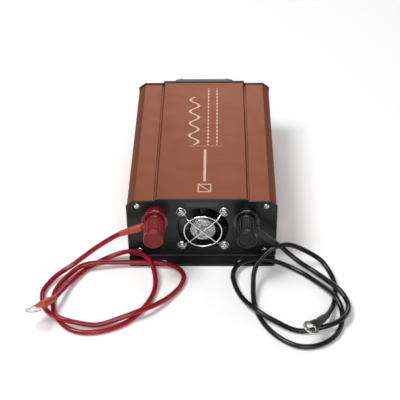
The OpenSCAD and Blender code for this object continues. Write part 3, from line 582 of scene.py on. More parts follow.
class Skin:
    """A closed surface gathered from grids of points."""

    def __init__(self, name: str) -> None:
        """Starts an empty surface under a piece's name."""
        self.name = name
        self.points: list[Array] = []
        self.faces: list[list[int]] = []
        self.count = 0

    def grid(self, points: Array, loop: bool = False, caps: bool = False) -> "Skin":
        """Adds a grid of points as quads, its last column joined to the first.

        Args:
            points: rows by columns by 3.
            loop: whether the last row joins the first.
            caps: whether the first and last rows are closed by a face each.

        Returns:
            This surface.
        """
        rows, columns = points.shape[:2]
        r, c = np.meshgrid(np.arange(rows if loop else rows - 1), np.arange(columns), indexing="ij")
        here, down = r * columns, (r + 1) % rows * columns
        right = (c + 1) % columns
        quads = np.stack([here + c, down + c, down + right, here + right], -1)
        self.faces += (quads.reshape(-1, 4) + self.count).tolist()
        if caps:
            last = self.count + (rows - 1) * columns
            self.faces.append(list(range(self.count, self.count + columns)))
            self.faces.append(list(range(last, last + columns)))
        self.points.append(points.reshape(-1, 3))
        self.count += rows * columns
        return self

    def turn(self, stand: Stand, profile: Array, sides: int, loop: bool = False,
             wave: Callable[[Array, Array], Array] | None = None) -> "Skin":
        """Adds a turned shape on a stand; see turned."""
        return self.grid(stand.put(turned(np.asarray(profile, float), sides, wave)), loop=loop)

    def mesh(self, crease: float) -> bpy.types.Object:
        """Makes the piece, its doubles merged, its normals outward and its sharp edges kept.

        Args:
            crease: the angle in degrees from which an edge stays sharp.

        Returns:
            The new object.
        """
        data = bpy.data.meshes.new(self.name)
        data.from_pydata(np.concatenate(self.points), [], self.faces)
        work = bmesh.new()
        work.from_mesh(data)
        bmesh.ops.remove_doubles(work, verts=work.verts, dist=1e-6)
        bmesh.ops.dissolve_degenerate(work, edges=work.edges, dist=1e-7)
        bmesh.ops.recalc_face_normals(work, faces=work.faces)
        work.to_mesh(data)
        work.free()
        return add(self.name, data, crease)


def add(name: str, data: bpy.types.Mesh | bpy.types.Curve, crease: float = 32.0) -> bpy.types.Object:
    """Puts data into the scene as an object at the origin, shaded smooth between sharp edges."""
    piece = bpy.data.objects.new(name, data)
    bpy.context.scene.collection.objects.link(piece)
    if isinstance(data, bpy.types.Mesh):
        data.shade_smooth()
        data.set_sharp_from_angle(angle=math.radians(crease))
    return piece


def dress(piece: bpy.types.Object, finish: Finish, slot: str, body: str = "case",
          nodes: Sequence[str] = ()) -> bpy.types.Object:
    """Gives a new piece its finish and its body, and hides the CAD nodes that it stands for.

    Args:
        piece: the new object.
        finish: its finish.
        slot: the record's material slot; not used.
        body: the CAD body that it moves with.
        nodes: the CAD nodes that it replaces.

    Returns:
        The piece.
    """
    piece.data.materials.clear()
    piece.data.materials.append(finish.material())
    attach(piece, body)
    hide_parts(*nodes)
    LOG.info("%s on %s in %s", piece.name, body, finish.name)
    return piece


def repaint(node: str, finish: Finish) -> None:
    """Gives a CAD node's own mesh a finish; its shape stays as packed."""
    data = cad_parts[node].data
    data.materials.clear()
    data.materials.append(finish.material())
    LOG.info("%s keeps its shape, in %s", node, finish.name)


def refine(node: str, finish: Finish, slot: str, bevel: float, body: str = "case") -> bpy.types.Object:
    """Stands in for a CAD node with a copy of it whose edges are rounded.

    Args:
        node: the CAD node.
        finish: the copy's finish.
        slot: the record's material slot.
        bevel: the width of the rounding in metres.
        body: the CAD body that it moves with.

    Returns:
        The new piece.
    """
    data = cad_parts[node].data.copy()
    work = bmesh.new()
    work.from_mesh(data)
    bmesh.ops.remove_doubles(work, verts=work.verts, dist=2e-6)
    bmesh.ops.dissolve_limit(work, angle_limit=math.radians(1.0), verts=work.verts, edges=work.edges)
    work.to_mesh(data)
    work.free()
    piece = add(f"{node}_finished", data)
    rounding = piece.modifiers.new("rounded_edges", "BEVEL")
    rounding.width = bevel
    rounding.segments = 3
    rounding.limit_method = "ANGLE"
    rounding.angle_limit = math.radians(30.0)
    rounding.use_clamp_overlap = True
    rounding.harden_normals = True
    return dress(piece, finish, slot, body, [node])


# ---- the battery leads ---------------------------------------------------------------


@dataclass(frozen=True)
class Lug:
    """A ring lug with its ring at a stand's middle and its barrel along it, side to side flat."""

    stand: Stand
    ring: float = 0.0075
    hole: float = 0.0042
    thick: float = 0.0014
    barrel: float = 0.0031
    barrel_from: float = 0.0125
    barrel_to: float = 0.0225

    def normal(self) -> Array:
        """The way the flat of the ring faces."""
        return self.stand.put(np.array([0.0, 1.0, 0.0])) - np.asarray(self.stand.at)

    def metal(self, name: str) -> Skin:
        """The ring and, merged into it, the neck that swells to the crimped barrel.

        The ring is a rounded rectangle turned about the normal. The neck is a row of rounded
        sections |s/w|^n + |u/h|^n = 1 along the lug, with w, h and n easing from flat to round.

        Args:
            name: the piece's name.

        Returns:
            The surface.
        """
        half = self.thick / 2
        rim = soften([(self.hole, -half), (self.ring, -half), (self.ring, half), (self.hole, half)],
                     0.0003, closed=True)
        flat = Stand(self.stand.at, self.normal(), self.stand.side)
        run = np.concatenate([[self.hole + 0.0006], np.linspace(0.0062, self.barrel_to, 40)])
        round_share = np.clip((run - self.barrel_from) / 0.0016, 0, 1)
        round_share = round_share * round_share * (3 - 2 * round_share)
        crimp = 0.10 * np.cos((run - self.barrel_from - 0.0035) / 0.0016) * (run > self.barrel_from + 0.0008)
        width = 0.0028 + (self.barrel - 0.0028) * round_share
        height = half * 0.98 + (self.barrel - half) * round_share * (1 - np.maximum(crimp, 0))
        power = (2.0 / (6.0 - 4.0 * round_share))[:, None]
        turn = angles(40)[None, :]
        side = width[:, None] * np.sign(np.cos(turn)) * np.abs(np.cos(turn)) ** power
        up = height[:, None] * np.sign(np.sin(turn)) * np.abs(np.sin(turn)) ** power
        along = np.repeat(run[:, None], 40, 1)
        sections = self.stand.put(np.stack([side, up, along], -1))
        return Skin(name).turn(flat, rim, 96, loop=True).grid(sections, caps=True)

    def sleeve(self, name: str, cable: float, on_post: bool) -> Skin:
        """The heat-shrink sleeve: flat over the ring's edge, round on the barrel, drawn in past it.

        Each section is |s/w|^n + |u/h|^n = 1, with its half width w, its half heights h behind and in
        front, and its power n eased between the places below. The inside follows at a share of it.

        Args:
            name: the piece's name.
            cable: the lead's radius.
            on_post: whether the lug is on its post, where the sleeve starts behind the knob.

        Returns:
            The surface.
        """
        start, end = (0.0098, 0.0350) if on_post else (0.0052, 0.0315)
        run = np.linspace(start, end, 70)
        width = eased(run, (start, 0.0135, self.barrel_to, self.barrel_to + 0.003, end),
                      (0.0046 if on_post else 0.0054, 0.0037, 0.0036, cable + 0.0007, cable + 0.0004))
        front = eased(run, (start, start + 0.002, 0.0139, self.barrel_to, self.barrel_to + 0.003, end),
                      (0.0012, 0.0013, 0.0037, 0.0036, cable + 0.0007, cable + 0.0004))
        tight = eased(run, (start, 0.0122, 0.0139), (0.00068, 0.00068, 0.0037))
        behind = np.minimum(front, tight) if on_post else front
        power = eased(run, (start, 0.0139), (5.0, 2.0))
        power = (2.0 / power)[:, None]
        turn = angles(64)[None, :]
        down = run[:, None]
        dents = 1 + 0.012 * np.sin(3 * turn + 900 * down) + 0.010 * np.sin(5 * turn - 1600 * down)
        side = width[:, None] * np.sign(np.cos(turn)) * np.abs(np.cos(turn)) ** power * dents
        height = np.where(np.sin(turn) > 0, behind[:, None], front[:, None])
        up = height * np.sign(np.sin(turn)) * np.abs(np.sin(turn)) ** power
        along = np.repeat(run[:, None], 64, 1)
        outer = np.stack([side, up, along], -1)
        inner = outer * (0.88, 0.80, 1.0)
        ends = 0.0001
        rows = np.concatenate([inner[:1], outer[:1] * (0.95, 0.92, 1) - (0, 0, ends), outer,
                               outer[-1:] * (0.95, 0.95, 1) + (0, 0, ends), inner[::-1][:-1]])
        return Skin(name).grid(self.stand.put(rows), loop=True)


@dataclass
class Lead:
    """One battery lead: the cable along its route, and a lug and a sleeve on each end."""

    pole: Pole
    route: list[tuple[float, float, float]]
    length: float
    post_slope: float
    ring_end: tuple[float, float, float]
    roll: float
    jacket: Finish
    shrink: Finish
    diameter: float = 0.0046
    post_x: float = 0.042
    post_shift: float = -0.001
    post_z: float = 0.051
    lug_y: float = -0.105

    def path(self) -> Array:
        """The centre line."""
        return smooth_path(np.asarray(self.route) * MM, 10, self.diameter / 2)

    def post_lug(self) -> Lug:
        """The lug on the post, its flat to the panel."""
        s = float(self.pole.value)
        along = (s, 0.0, -self.post_slope)
        middle = (self.post_shift + s * self.post_x, self.lug_y, self.post_z)
        return Lug(Stand(middle, along, np.cross(along, (0.0, -1.0, 0.0))))

    def battery_lug(self) -> Lug:
        """The lug on the free end, turned to meet its cable and rolled about it."""
        middle = np.asarray(self.ring_end) * MM
        along = unit(self.path()[-1] - middle)
        level = unit(np.cross((0.0, 0.0, 1.0), along))
        above = np.cross(along, level)
        roll = math.radians(self.roll)
        normal = math.cos(roll) * above - math.sin(roll) * level
        return Lug(Stand(tuple(middle), along, np.cross(along, normal)))

    def cable(self, pieces: list[bpy.types.Object]) -> None:
        """The jacketed cable as one round curve.

        Args:
            pieces: the lugs and sleeves; not used.
        """
        name = self.pole.node("cable")
        data = bpy.data.curves.new(f"{name}_line", "CURVE")
        data.dimensions = "3D"
        data.bevel_depth = self.diameter / 2
        data.bevel_resolution = 7
        data.use_fill_caps = True
        line = data.splines.new("POLY")
        path = self.path()
        line.points.add(len(path) - 1)
        line.points.foreach_set("co", np.c_[path, np.ones(len(path))].ravel())
        line.use_smooth = True
        piece = dress(add(f"{name}_jacket", data), self.jacket, self.pole.node("wire"), nodes=[name])

    def build(self) -> None:
        """Makes the lugs and sleeves, then the cable that they sit on."""
        pieces = []
        for where, lug in (("post", self.post_lug()), ("battery", self.battery_lug())):
            ring, sleeve = self.pole.node(f"{where}_lug"), self.pole.node(f"{where}_sleeve")
            pieces.append(dress(lug.metal(f"{ring}_crimped").mesh(40.0), TINNED, "tinned_lug", nodes=[ring]))
            tubing = lug.sleeve(f"{sleeve}_shrunk", self.diameter / 2, where == "post")
            pieces.append(dress(tubing.mesh(50.0), self.shrink, self.pole.node("sleeve"), nodes=[sleeve]))
        self.cable(pieces)


RED_LEAD = Lead(Pole.RED, [
    (-56.5, -105, 45.6), (-77, -105, 37), (-98, -108, 24), (-120, -116, 10), (-132, -123, 5.5),
    (-140, -132, 3), (-145, -145, 2.4), (-143, -160, 2.4), (-137, -173, 4.5), (-127, -183, 7.6),
    (-114, -188, 6.6), (-92, -188, 2.4), (-72, -183, 5.5), (-56, -177, 8.2), (-41, -166, 6),
    (-28, -151, 3), (-19, -136, 2.4), (-17, -122, 2.4), (-25, -112, 4), (-40, -108, 5.3),
    (-70, -107, 5.3), (-98, -111, 8), (-113, -115, 7), (-125, -125, 3), (-133, -141, 2.4),
    (-134, -160, 2.4), (-129, -177, 2.4), (-118, -191, 2.4), (-104, -197, 2.4), (-85, -195, 2.4),
    (-65, -184, 2.4), (-51, -165, 2.4), (-43, -143, 3), (-44, -123, 8.5), (-52, -107, 11.5),
    (-67, -96, 9.5), (-88, -97, 3.2), (-107, -112, 2.4), (-121, -134, 4.5), (-131, -160, 10),
    (-138, -173, 14.5)], 0.778, 0.4, (-146, -187, 20), -15.0, RED_WIRE, RED_SLEEVE)
BLACK_LEAD = Lead(Pole.BLACK, [
    (51.5, -105, 41.5), (72, -105, 24), (82, -108, 15.5), (93, -114, 9.5), (105, -123, 7),
    (123, -145, 7.6), (130, -157, 5), (131, -170, 5), (125, -184, 7.8), (112, -192, 6.4),
    (86, -195, 2.4), (63, -185, 6), (49, -174, 7.8), (38, -157, 4.5), (31, -138, 3),
    (29, -122, 4.5), (36, -109, 5.4), (51, -103, 5.4), (68, -105, 5), (87, -114, 2.6),
    (102, -128, 2.8), (119, -154, 7.7), (125, -170, 3.6), (123, -188, 2.4), (115, -203, 2.4),
    (100, -213, 2.4), (83, -213, 2.4), (67, -202, 2.4), (55, -185, 2.4), (48, -163, 2.8),
    (47, -144, 8), (49, -127, 14.5), (57, -117, 23), (69, -112, 28.5), (84, -106, 25),
    (108, -106, 10), (118, -118, 4.2), (122, -136, 2.4), (119, -160, 2.4), (111, -181, 8),
    (103, -194, 13)], 0.772, 0.9, (94.5, -207, 18), 20.0, BLACK_WIRE, BLACK_SLEEVE)

# ---- fasteners -----------------------------------------------------------------------


@dataclass(frozen=True)
class PanScrew:
    """A cross-recessed pan-head screw: its head's radius and height, and its shank."""

    head: float
    height: float
    shank: float
    length: float

    def add_to(self, skin: Skin, seat: Stand) -> None:
        """Adds one screw whose head's underside is at the seat.

        The head is z = H (1 - 0.16 q^2 - 0.3 q^6) for q = r/R, less the cross: wherever either
        arm covers the point, a recess that grows shallower towards the arm's end.

        Args:
            skin: the surface to add to.
            seat: its place, with along pointing out of the head.
        """
        rings = np.concatenate([np.linspace(0.0, 0.62, 44), np.linspace(0.64, 1.0, 16)])[:, None] * self.head
        turn = angles(96)[None, :]
        side, up = rings * np.cos(turn), rings * np.sin(turn)
        q = rings / self.head
        top = self.height * (1 - 0.16 * q ** 2 - 0.30 * q ** 6) + 0 * turn
        arm, reach, deep = 0.085 * self.head, 0.60 * self.head, 0.55 * self.height
        one = np.maximum(np.abs(side) - arm, np.abs(up) - reach)
        two = np.maximum(np.abs(up) - arm, np.abs(side) - reach)
        inside = np.clip(-np.minimum(one, two) / (0.035 * self.head), 0, 1)
        out = np.maximum(np.abs(side), np.abs(up)) / reach
        cross = inside * deep * (1 - 0.45 * np.clip(out, 0, 1))
        skin.grid(seat.put(np.stack([side, up, top - cross], -1)))
        low = 0.54 * self.height
        wall = soften([(self.head, low), (self.head, 0.0), (self.shank, 0.0), (self.shank, -self.length),
                       (0.0, -self.length)], [0, 0.0002, 0.0001, 0.0002, 0], 3)
        skin.turn(seat, wall, 96)


def screws(name: str, screw: PanScrew, seats: Sequence[Stand], finish: Finish, slot: str) -> None:
    """Makes the screws of one CAD node as one piece.

    Args:
        name: the CAD node.
        screw: the screw that they all are.
        seats: their places.
        finish: their plating.
        slot: the record's material slot.
    """
    skin = Skin(f"{name}_cross_recessed")
    for seat in seats:
        screw.add_to(skin, seat)
    dress(skin.mesh(28.0), finish, slot, nodes=[name])


# ---- case ----------------------------------------------------------------------------


@dataclass
class Case:
    """The two extrusions, the bent end panels and the screws that hold them."""

    half: float = 0.069
    top: float = 0.068
    shelf: float = 0.0655
    raised: float = 0.0415
    shoulder: tuple[float, float] = (0.0066, 0.0051)
    wall: float = 0.003
    floor: float = 0.0025
    base: float = 0.001
    split: float = 0.034
    groove: tuple[float, float] = (0.0017, 0.0014)
    rib_pitch: float = 0.006
    screw_x: float = 0.059
    screw_z: tuple[float, float] = (0.009, 0.0612)
    edge: float = 0.00035
    seam: float = 0.00008
    slope: float = 0.0008
    panel: float = 0.002

    def front(self) -> float:
        """Where the extrusions begin, at the back of the front panel."""
        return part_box("upper_shell")[0].y

    def back(self) -> float:
        """Where they end."""
        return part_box("upper_shell")[1].y

    def ribs(self, low: float, high: float) -> list[tuple[float, float]]:
        """The side wall going up, with a groove at each pitch from low to high."""
        points = []
        for z in np.arange(low, high + MM / 10, self.rib_pitch):
            inside = self.half - self.groove[1]
            points += [(self.half, z), (inside, z), (inside, z + self.rib_pitch / 2),
                       (self.half, z + self.rib_pitch / 2)]
        return points

    def upper(self) -> None:
        """The cover: ribbed sides, sloped shoulders, a groove beside the raised middle."""
        across, deep = self.shoulder
        wide, cut = self.groove
        inner, rim = self.raised + 0.001, self.shelf
        bend = self.raised + self.slope
        foot, shoulder = self.split + self.seam, self.shelf - deep
        outside = [(self.half, foot), *self.ribs(self.split + 0.003, shoulder - 0.004),
                   (self.half, shoulder), (self.half - across, rim), (inner + wide, rim),
                   (inner + wide, rim - cut), (inner, rim - cut), (inner, rim), (bend, rim),
                   (self.raised, self.top), (0.0, self.top)]
        within = self.wall
        inside = [(0.0, self.top - within), (self.raised - within, self.top - within),
                  (bend - within, rim - within), (self.half - across - 0.0012, rim - within),
                  (self.half - within, shoulder - 0.0012), (self.half - within, foot)]
        self.shell("upper_shell", outside, inside)

    def lower(self) -> None:
        """The tray: ribbed sides and a flat floor."""
        lift, rim = self.base + self.floor, self.split - self.seam
        outside = [(0.0, self.base), (self.half, self.base),
                   *self.ribs(self.base + 0.005, self.split - 0.005), (self.half, rim)]
        inside = [(self.half - self.wall, rim), (self.half - self.wall, lift), (0.0, lift)]
        self.shell("lower_shell", outside, inside)

    def shell(self, name: str, outside: list[tuple[float, float]], inside: list[tuple[float, float]]) -> None:
        """Joins two +X half lines and their mirror images into one wall, and carries it along Y.

        Args:
            name: the CAD node.
            outside: one face's line, the outer one.
            inside: the other face's line, in the order that goes on round the wall.
        """
        outer, inner = np.asarray(outside), np.asarray(inside)
        outer_back, inner_back = (outer * (-1, 1))[::-1], (inner * (-1, 1))[::-1]
        if outer[0, 0] == 0:
            ring = np.concatenate([outer, inner, inner_back[1:], outer_back[:-1]])
        else:
            ring = np.concatenate([outer, outer_back[1:], inner_back, inner[1:]])
        outline = soften(ring, self.edge, 3, closed=True)
        along = np.linspace(self.front(), self.back(), 24)
        grid = np.empty((len(along), len(outline), 3))
        grid[..., 0], grid[..., 1], grid[..., 2] = outline[:, 0], along[:, None], outline[:, 1]
        skin = Skin(f"{name}_extruded").grid(grid, caps=True)
        dress(skin.mesh(28.0), COVER, "cover_anodised", nodes=[name])

    def build(self) -> None:
        """Makes the case."""
        self.upper()
        self.lower()
        screw = PanScrew(0.003, 0.002, 0.00145, 0.012)
        places = [(x, z) for x in (-self.screw_x, self.screw_x) for z in self.screw_z]
        for name, y, way in (("front_panel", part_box("front_panel")[1].y - self.panel, -1.0),
                             ("rear_panel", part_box("rear_panel")[0].y + self.panel, 1.0)):
            refine(name, PANEL, "panel_black", 0.00025)
            seats = [Stand((x, y, z), (0.0, way, 0.0), (1.0, 0.0, 0.35 * number - 0.5))
                     for number, (x, z) in enumerate(places)]
            screws(f"{name}_screws", screw, seats, ZINC, "screw_zinc")
        self.label()

    def label(self) -> None:
        """The blank dark label over the fan: a thin rounded plate on the front panel."""
        half_x, half_z, thick = 0.0145, 0.0026, 0.00012
        corners = [(-half_x, -half_z), (half_x, -half_z), (half_x, half_z), (-half_x, half_z)]
        outline = soften(corners, 0.0008, 5, closed=True)
        stand = Stand((0.0005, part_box("front_panel")[1].y - self.panel, 0.0627))
        rows = np.stack([np.c_[outline, 0 * outline[:, 0] + h] for h in (-0.00005, thick)])
        skin = Skin("blank_front_label").grid(stand.put(rows), caps=True)
        dress(skin.mesh(30.0), LABEL, "panel_black")


# ---- fan -----------------------------------------------------------------------------


@dataclass
class Fan:
    """The cooling fan behind the front panel, its wire guard and its screws."""

    middle: tuple[float, float, float] = (0.001, -0.093, 0.035)
    pitch: float = 0.040
    wire: float = 0.0007
    ring: float = 0.0175
    out: float = 0.005
    crossed: tuple[tuple[float, float], ...] = ((0.0056, -45.0), (0.00455, -135.0))
    eyelet: float = 0.004
    hub: float = 0.0123
    hub_out: float = 0.0026
    hub_back: float = 0.0125
    tip: float = 0.02295
    blades: int = 7
    blade_turn: float = 25.0
    blade_arc: float = 0.66
    blade_depth: float = 0.0088
    blade_thick: float = 0.0011

    def stand(self) -> Stand:
        """The axis, from the panel's face outwards."""
        return Stand(self.middle)

    def corners(self, out: float) -> list[Stand]:
        """The four screws' axes, at a distance out of the panel."""
        half = self.pitch / 2
        return [self.stand().moved(x, z, out) for x in (-half, half) for z in (-half, half)]

    def guard_wire(self, out: float, angle: float) -> Array:
        """One crossed wire: an eyelet, down to the panel, over the ring and back to the other eyelet.

        Args:
            out: how far the straight stretch stands out of the panel.
            angle: the diagonal that it lies on, in degrees.

        Returns:
            The tube's grid.
        """
        reach = self.pitch / math.sqrt(2)
        turn = np.radians(np.linspace(180.0, -158.0, 44))[1:]
        low = self.wire
        eye = np.stack([reach + self.eyelet * np.cos(turn), self.eyelet * np.sin(turn), 0 * turn + low], -1)
        dip = self.ring + 0.0016
        corners = np.concatenate([[(0, 0, out), (dip, 0, out), (reach - self.eyelet, 0, low)], eye])
        radii = np.array([0, 0.0022, 0.0008, *([0.0002] * len(eye))])
        half = soften(corners, radii, 6)
        path = np.concatenate([half[::-1] * (-1, -1, 1), half[1:]])
        keep = np.linalg.norm(np.diff(path, axis=0, prepend=path[:1] - 1), axis=1) > 1e-6
        side = (math.cos(math.radians(angle)), 0.0, math.sin(math.radians(angle)))
        return Stand(self.middle, side=side).put(tube(path[keep], self.wire, 20, (0.0, 0.0, 1.0)))

    def guard(self) -> None:
        """The guard: a ring between two crossed wires that end in eyelets under the screws."""
        turn = angles(24)
        hoop = np.stack([self.ring + self.wire * np.cos(turn), self.out + self.wire * np.sin(turn)], -1)
        skin = Skin("fan_guard_bent").turn(self.stand(), hoop, 144, loop=True)
        for out, angle in self.crossed:
            skin.grid(self.guard_wire(out, angle), caps=True)
        dress(skin.mesh(60.0), CHROME, "guard_wire", nodes=["fan_guard"])

    def blade(self, number: int) -> Array:
        """One blade: for each radius a thin loop, its chord c from -1/2 to 1/2 turning with depth.

        The angle is start + c * arc, and the depth is middle - c * depth, bowed by 1 - 4c^2.

        Args:
            number: which blade.

        Returns:
            The blade's grid.
        """
        radius = np.linspace(self.hub - 0.0008, self.tip, 14)[:, None]
        loop = angles(36)[None, :]
        chord = 0.5 * np.cos(loop)
        share = (radius - self.hub) / (self.tip - self.hub)
        bow = 1 - 4 * chord ** 2
        arc = self.blade_arc * (1 - 0.12 * share)
        first = math.radians(self.blade_turn) + TURN * number / self.blades
        turn = first + chord * arc + 0.10 * share + 0.05 * bow
        deep = -0.0077 + chord * self.blade_depth + 0.0007 * bow + 0.5 * self.blade_thick * np.sin(loop)
        points = np.stack([radius * np.cos(turn), radius * np.sin(turn), deep + 0 * radius], -1)
        return self.stand().put(points)

    def rotor(self) -> None:
        """The hub's cup with the blades on it."""
        cup = soften([(0.0, 0.0018), (0.0110, 0.0018), (self.hub, -0.0020), (self.hub, -self.hub_back),
                      (self.hub - 0.0014, -self.hub_back), (self.hub - 0.0014, -0.004), (0.0, -0.004)],
                     [0, 0.0006, 0.0006, 0.0003, 0.0003, 0.0003, 0], 4)
        skin = Skin("fan_rotor_moulded").turn(self.stand(), cup, 96)
        for number in range(self.blades):
            skin.grid(self.blade(number), caps=True)
        dress(skin.mesh(40.0), FAN, "fan_black", "fan", ["fan_rotor"])

    def cap(self) -> None:
        """The foil label on the hub: a low dome with creases pressed over its edge."""
        flat = [(r, self.hub_out - 0.010 * r * r / 0.0112) for r in np.linspace(0.0, 0.0104, 26)]
        edge = [(0.0108, self.hub_out - 0.0005), (0.0116, self.hub_out), (0.0121, 0.0014), (0.0127, -0.0016)]
        profile = np.concatenate([flat, soften([flat[-1], *edge], 0.0006, 5)[1:]])

        def creased(height: Array, turn: Array) -> Array:
            """Small folds where the foil goes over the edge."""
            over = np.clip((self.hub_out - 0.0004 - height) / 0.0012, 0, 1)
            return over * (0.00006 * np.sin(37 * turn) + 0.00005 * np.sin(23 * turn + 1.0))

        skin = Skin("fan_hub_foil").turn(self.stand(), profile, 144, wave=creased)
        inner = [(0.0127, -0.0016), (0.0124, -0.0016), (0.0112, 0.0019), (0.0, 0.0019)]
        skin.turn(self.stand(), np.asarray(inner), 144, wave=creased)
        dress(skin.mesh(40.0), FOIL, "hub_foil", "fan", ["fan_hub_cap"])

    def lead(self) -> None:
        """The fan's two thin wires, from behind the hub up past the frame and down to the board."""
        y = self.middle[1] + 0.0182
        x, z, board = self.middle[0], self.middle[2], 0.0154
        route = np.array([(0.008, 0, 0.002), (0.010, 0, 0.005), (0.0102, 0, 0.010), (0.011, 0, 0.017),
                          (0.012, 0.004, 0.021), (0.016, 0.008, 0.018), (0.024, 0.009, 0.008),
                          (0.027, 0.009, -0.004), (0.027, 0.010, board + 0.0015 - z)]) + (x, y, z)
        skin = Skin("fan_lead_pair")
        for number in (0, 1):
            path = smooth_path(route + (0.0024 * number, 0, 0), 8, 0.0)
            skin.grid(tube(path, 0.0008, 16, (0.0, 0.0, 1.0)), caps=True)
        dress(skin.mesh(60.0), RED_WIRE, "red_wire", nodes=["fan_lead"])

    def build(self) -> None:
        """Makes the fan."""
        refine("fan_frame", FAN, "fan_black", 0.0003)
        self.rotor()
        self.cap()
        self.guard()
        self.lead()
        screw = PanScrew(0.004, 0.0029, 0.00195, 0.0234)
        screws("fan_screws", screw, self.corners(2 * self.wire), ZINC, "screw_zinc")
        repaint("fan_nuts", ZINC)


# ---- battery posts -------------------------------------------------------------------


@dataclass
class BatteryPost:
    """One battery post: the insulating base, the stud, the washer, and the fluted knob."""

    pole: Pole
    base: Finish
    grip: Finish
    x: float = 0.042
    shift: float = -0.001
    panel_y: float = -0.093
    z: float = 0.051
    stud: float = 0.004
    knob: float = 0.0094
    knob_from: float = 0.0143
    knob_to: float = 0.038
    cap: float = 0.0063
    flutes: int = 20
    flute: float = 0.001
    flute_out: float = 0.00035

    def stand(self) -> Stand:
        """The post's axis, from the panel's face outwards."""
        return Stand((self.shift + self.pole.value * self.x, self.panel_y, self.z))

    def cup(self) -> None:
        """The base with its collar, and the neck that goes through the panel."""
        line = [(0.00405, -0.004), (0.00875, -0.004), (0.00875, -0.002), (0.0060, -0.002), (0.0060, 0.0),
                (0.00975, 0.0), (0.00975, 0.0083), (0.0122, 0.0083), (0.0122, 0.0113), (0.00405, 0.0113)]
        radii = [0.0002, 0.0003, 0.0002, 0.0001, 0.0001, 0.0003, 0.0005, 0.0004, 0.0008, 0.0003]
        node = self.pole.node("post_base")
        skin = Skin(f"{node}_turned").turn(self.stand(), soften(line, radii, 5, closed=True), 96, loop=True)
        dress(skin.mesh(40.0), self.base, self.pole.node("base"), nodes=[node])

    def washer(self) -> None:
        """The plated washer between the lug and the knob."""
        section = [(0.00405, 0.0129), (0.0080, 0.0129), (0.0080, 0.0141), (0.00405, 0.0141)]
        line = soften(section, 0.0002, closed=True)
        node = self.pole.node("post_washer")
        skin = Skin(f"{node}_turned").turn(self.stand(), line, 96, loop=True)
        dress(skin.mesh(40.0), PLATED, "screw_zinc", self.pole.node("washer"), [node])

    def fluting(self, height: Array, turn: Array) -> Array:
        """Round flutes: each cuts the circle of its radius, whose middle lies outside the knob.

        The cut at an angle a from a flute's middle is R - (D cos a - sqrt(f^2 - (D sin a)^2)), with
        D the distance of its middle from the axis and f its radius. The cap has none.
        """
        middle = self.knob + self.flute_out
        apart = TURN / self.flutes
        a = (turn + apart / 2) % apart - apart / 2
        root = self.flute ** 2 - (middle * np.sin(a)) ** 2
        cut = np.where(root > 0, self.knob - (middle * np.cos(a) - np.sqrt(np.maximum(root, 0))), 0)
        on_grip = (height > self.knob_from - 0.0001) & (height < self.knob_to - self.cap + 0.0001)
        return -np.maximum(cut, 0) * on_grip

    def turned_knob(self) -> None:
        """The knob: a fluted grip, a narrow neck, and an end cap with a sunk disc."""
        r, start, end = self.knob, self.knob_from, self.knob_to
        neck = end - self.cap
        line = [(0.0, end - 0.0034), (self.stud, end - 0.0034), (self.stud, start), (r - 0.0007, start),
                (r, start + 0.0006), (r, neck), (r - 0.0008, neck), (r - 0.0008, neck + 0.0007),
                (r - 0.0002, neck + 0.0007), (r - 0.0002, end - 0.0009), (r - 0.0010, end),
                (r - 0.0020, end), (r - 0.0023, end - 0.0009), (0.0, end - 0.0006)]
        radii = [0, 0.0002, 0.0003, 0.0003, 0.0003, 0.0003, 0.0001, 0.0001, 0.0004, 0.0007, 0.0006,
                 0.0003, 0.0002, 0]
        node = self.pole.node("post_knob")
        profile = soften(line, radii, 5)
        skin = Skin(f"{node}_fluted").turn(self.stand(), profile, self.flutes * 18, wave=self.fluting)
        dress(skin.mesh(34.0), self.grip, self.pole.node("knob"), self.pole.node("knob"), [node])

    def build(self) -> None:
        """Makes the post."""
        self.cup()
        self.washer()
        self.turned_knob()
        for part in ("post_stud", "post_nut"):
            repaint(self.pole.node(part), BRASS)


# ---- outlet side ---------------------------------------------------------------------


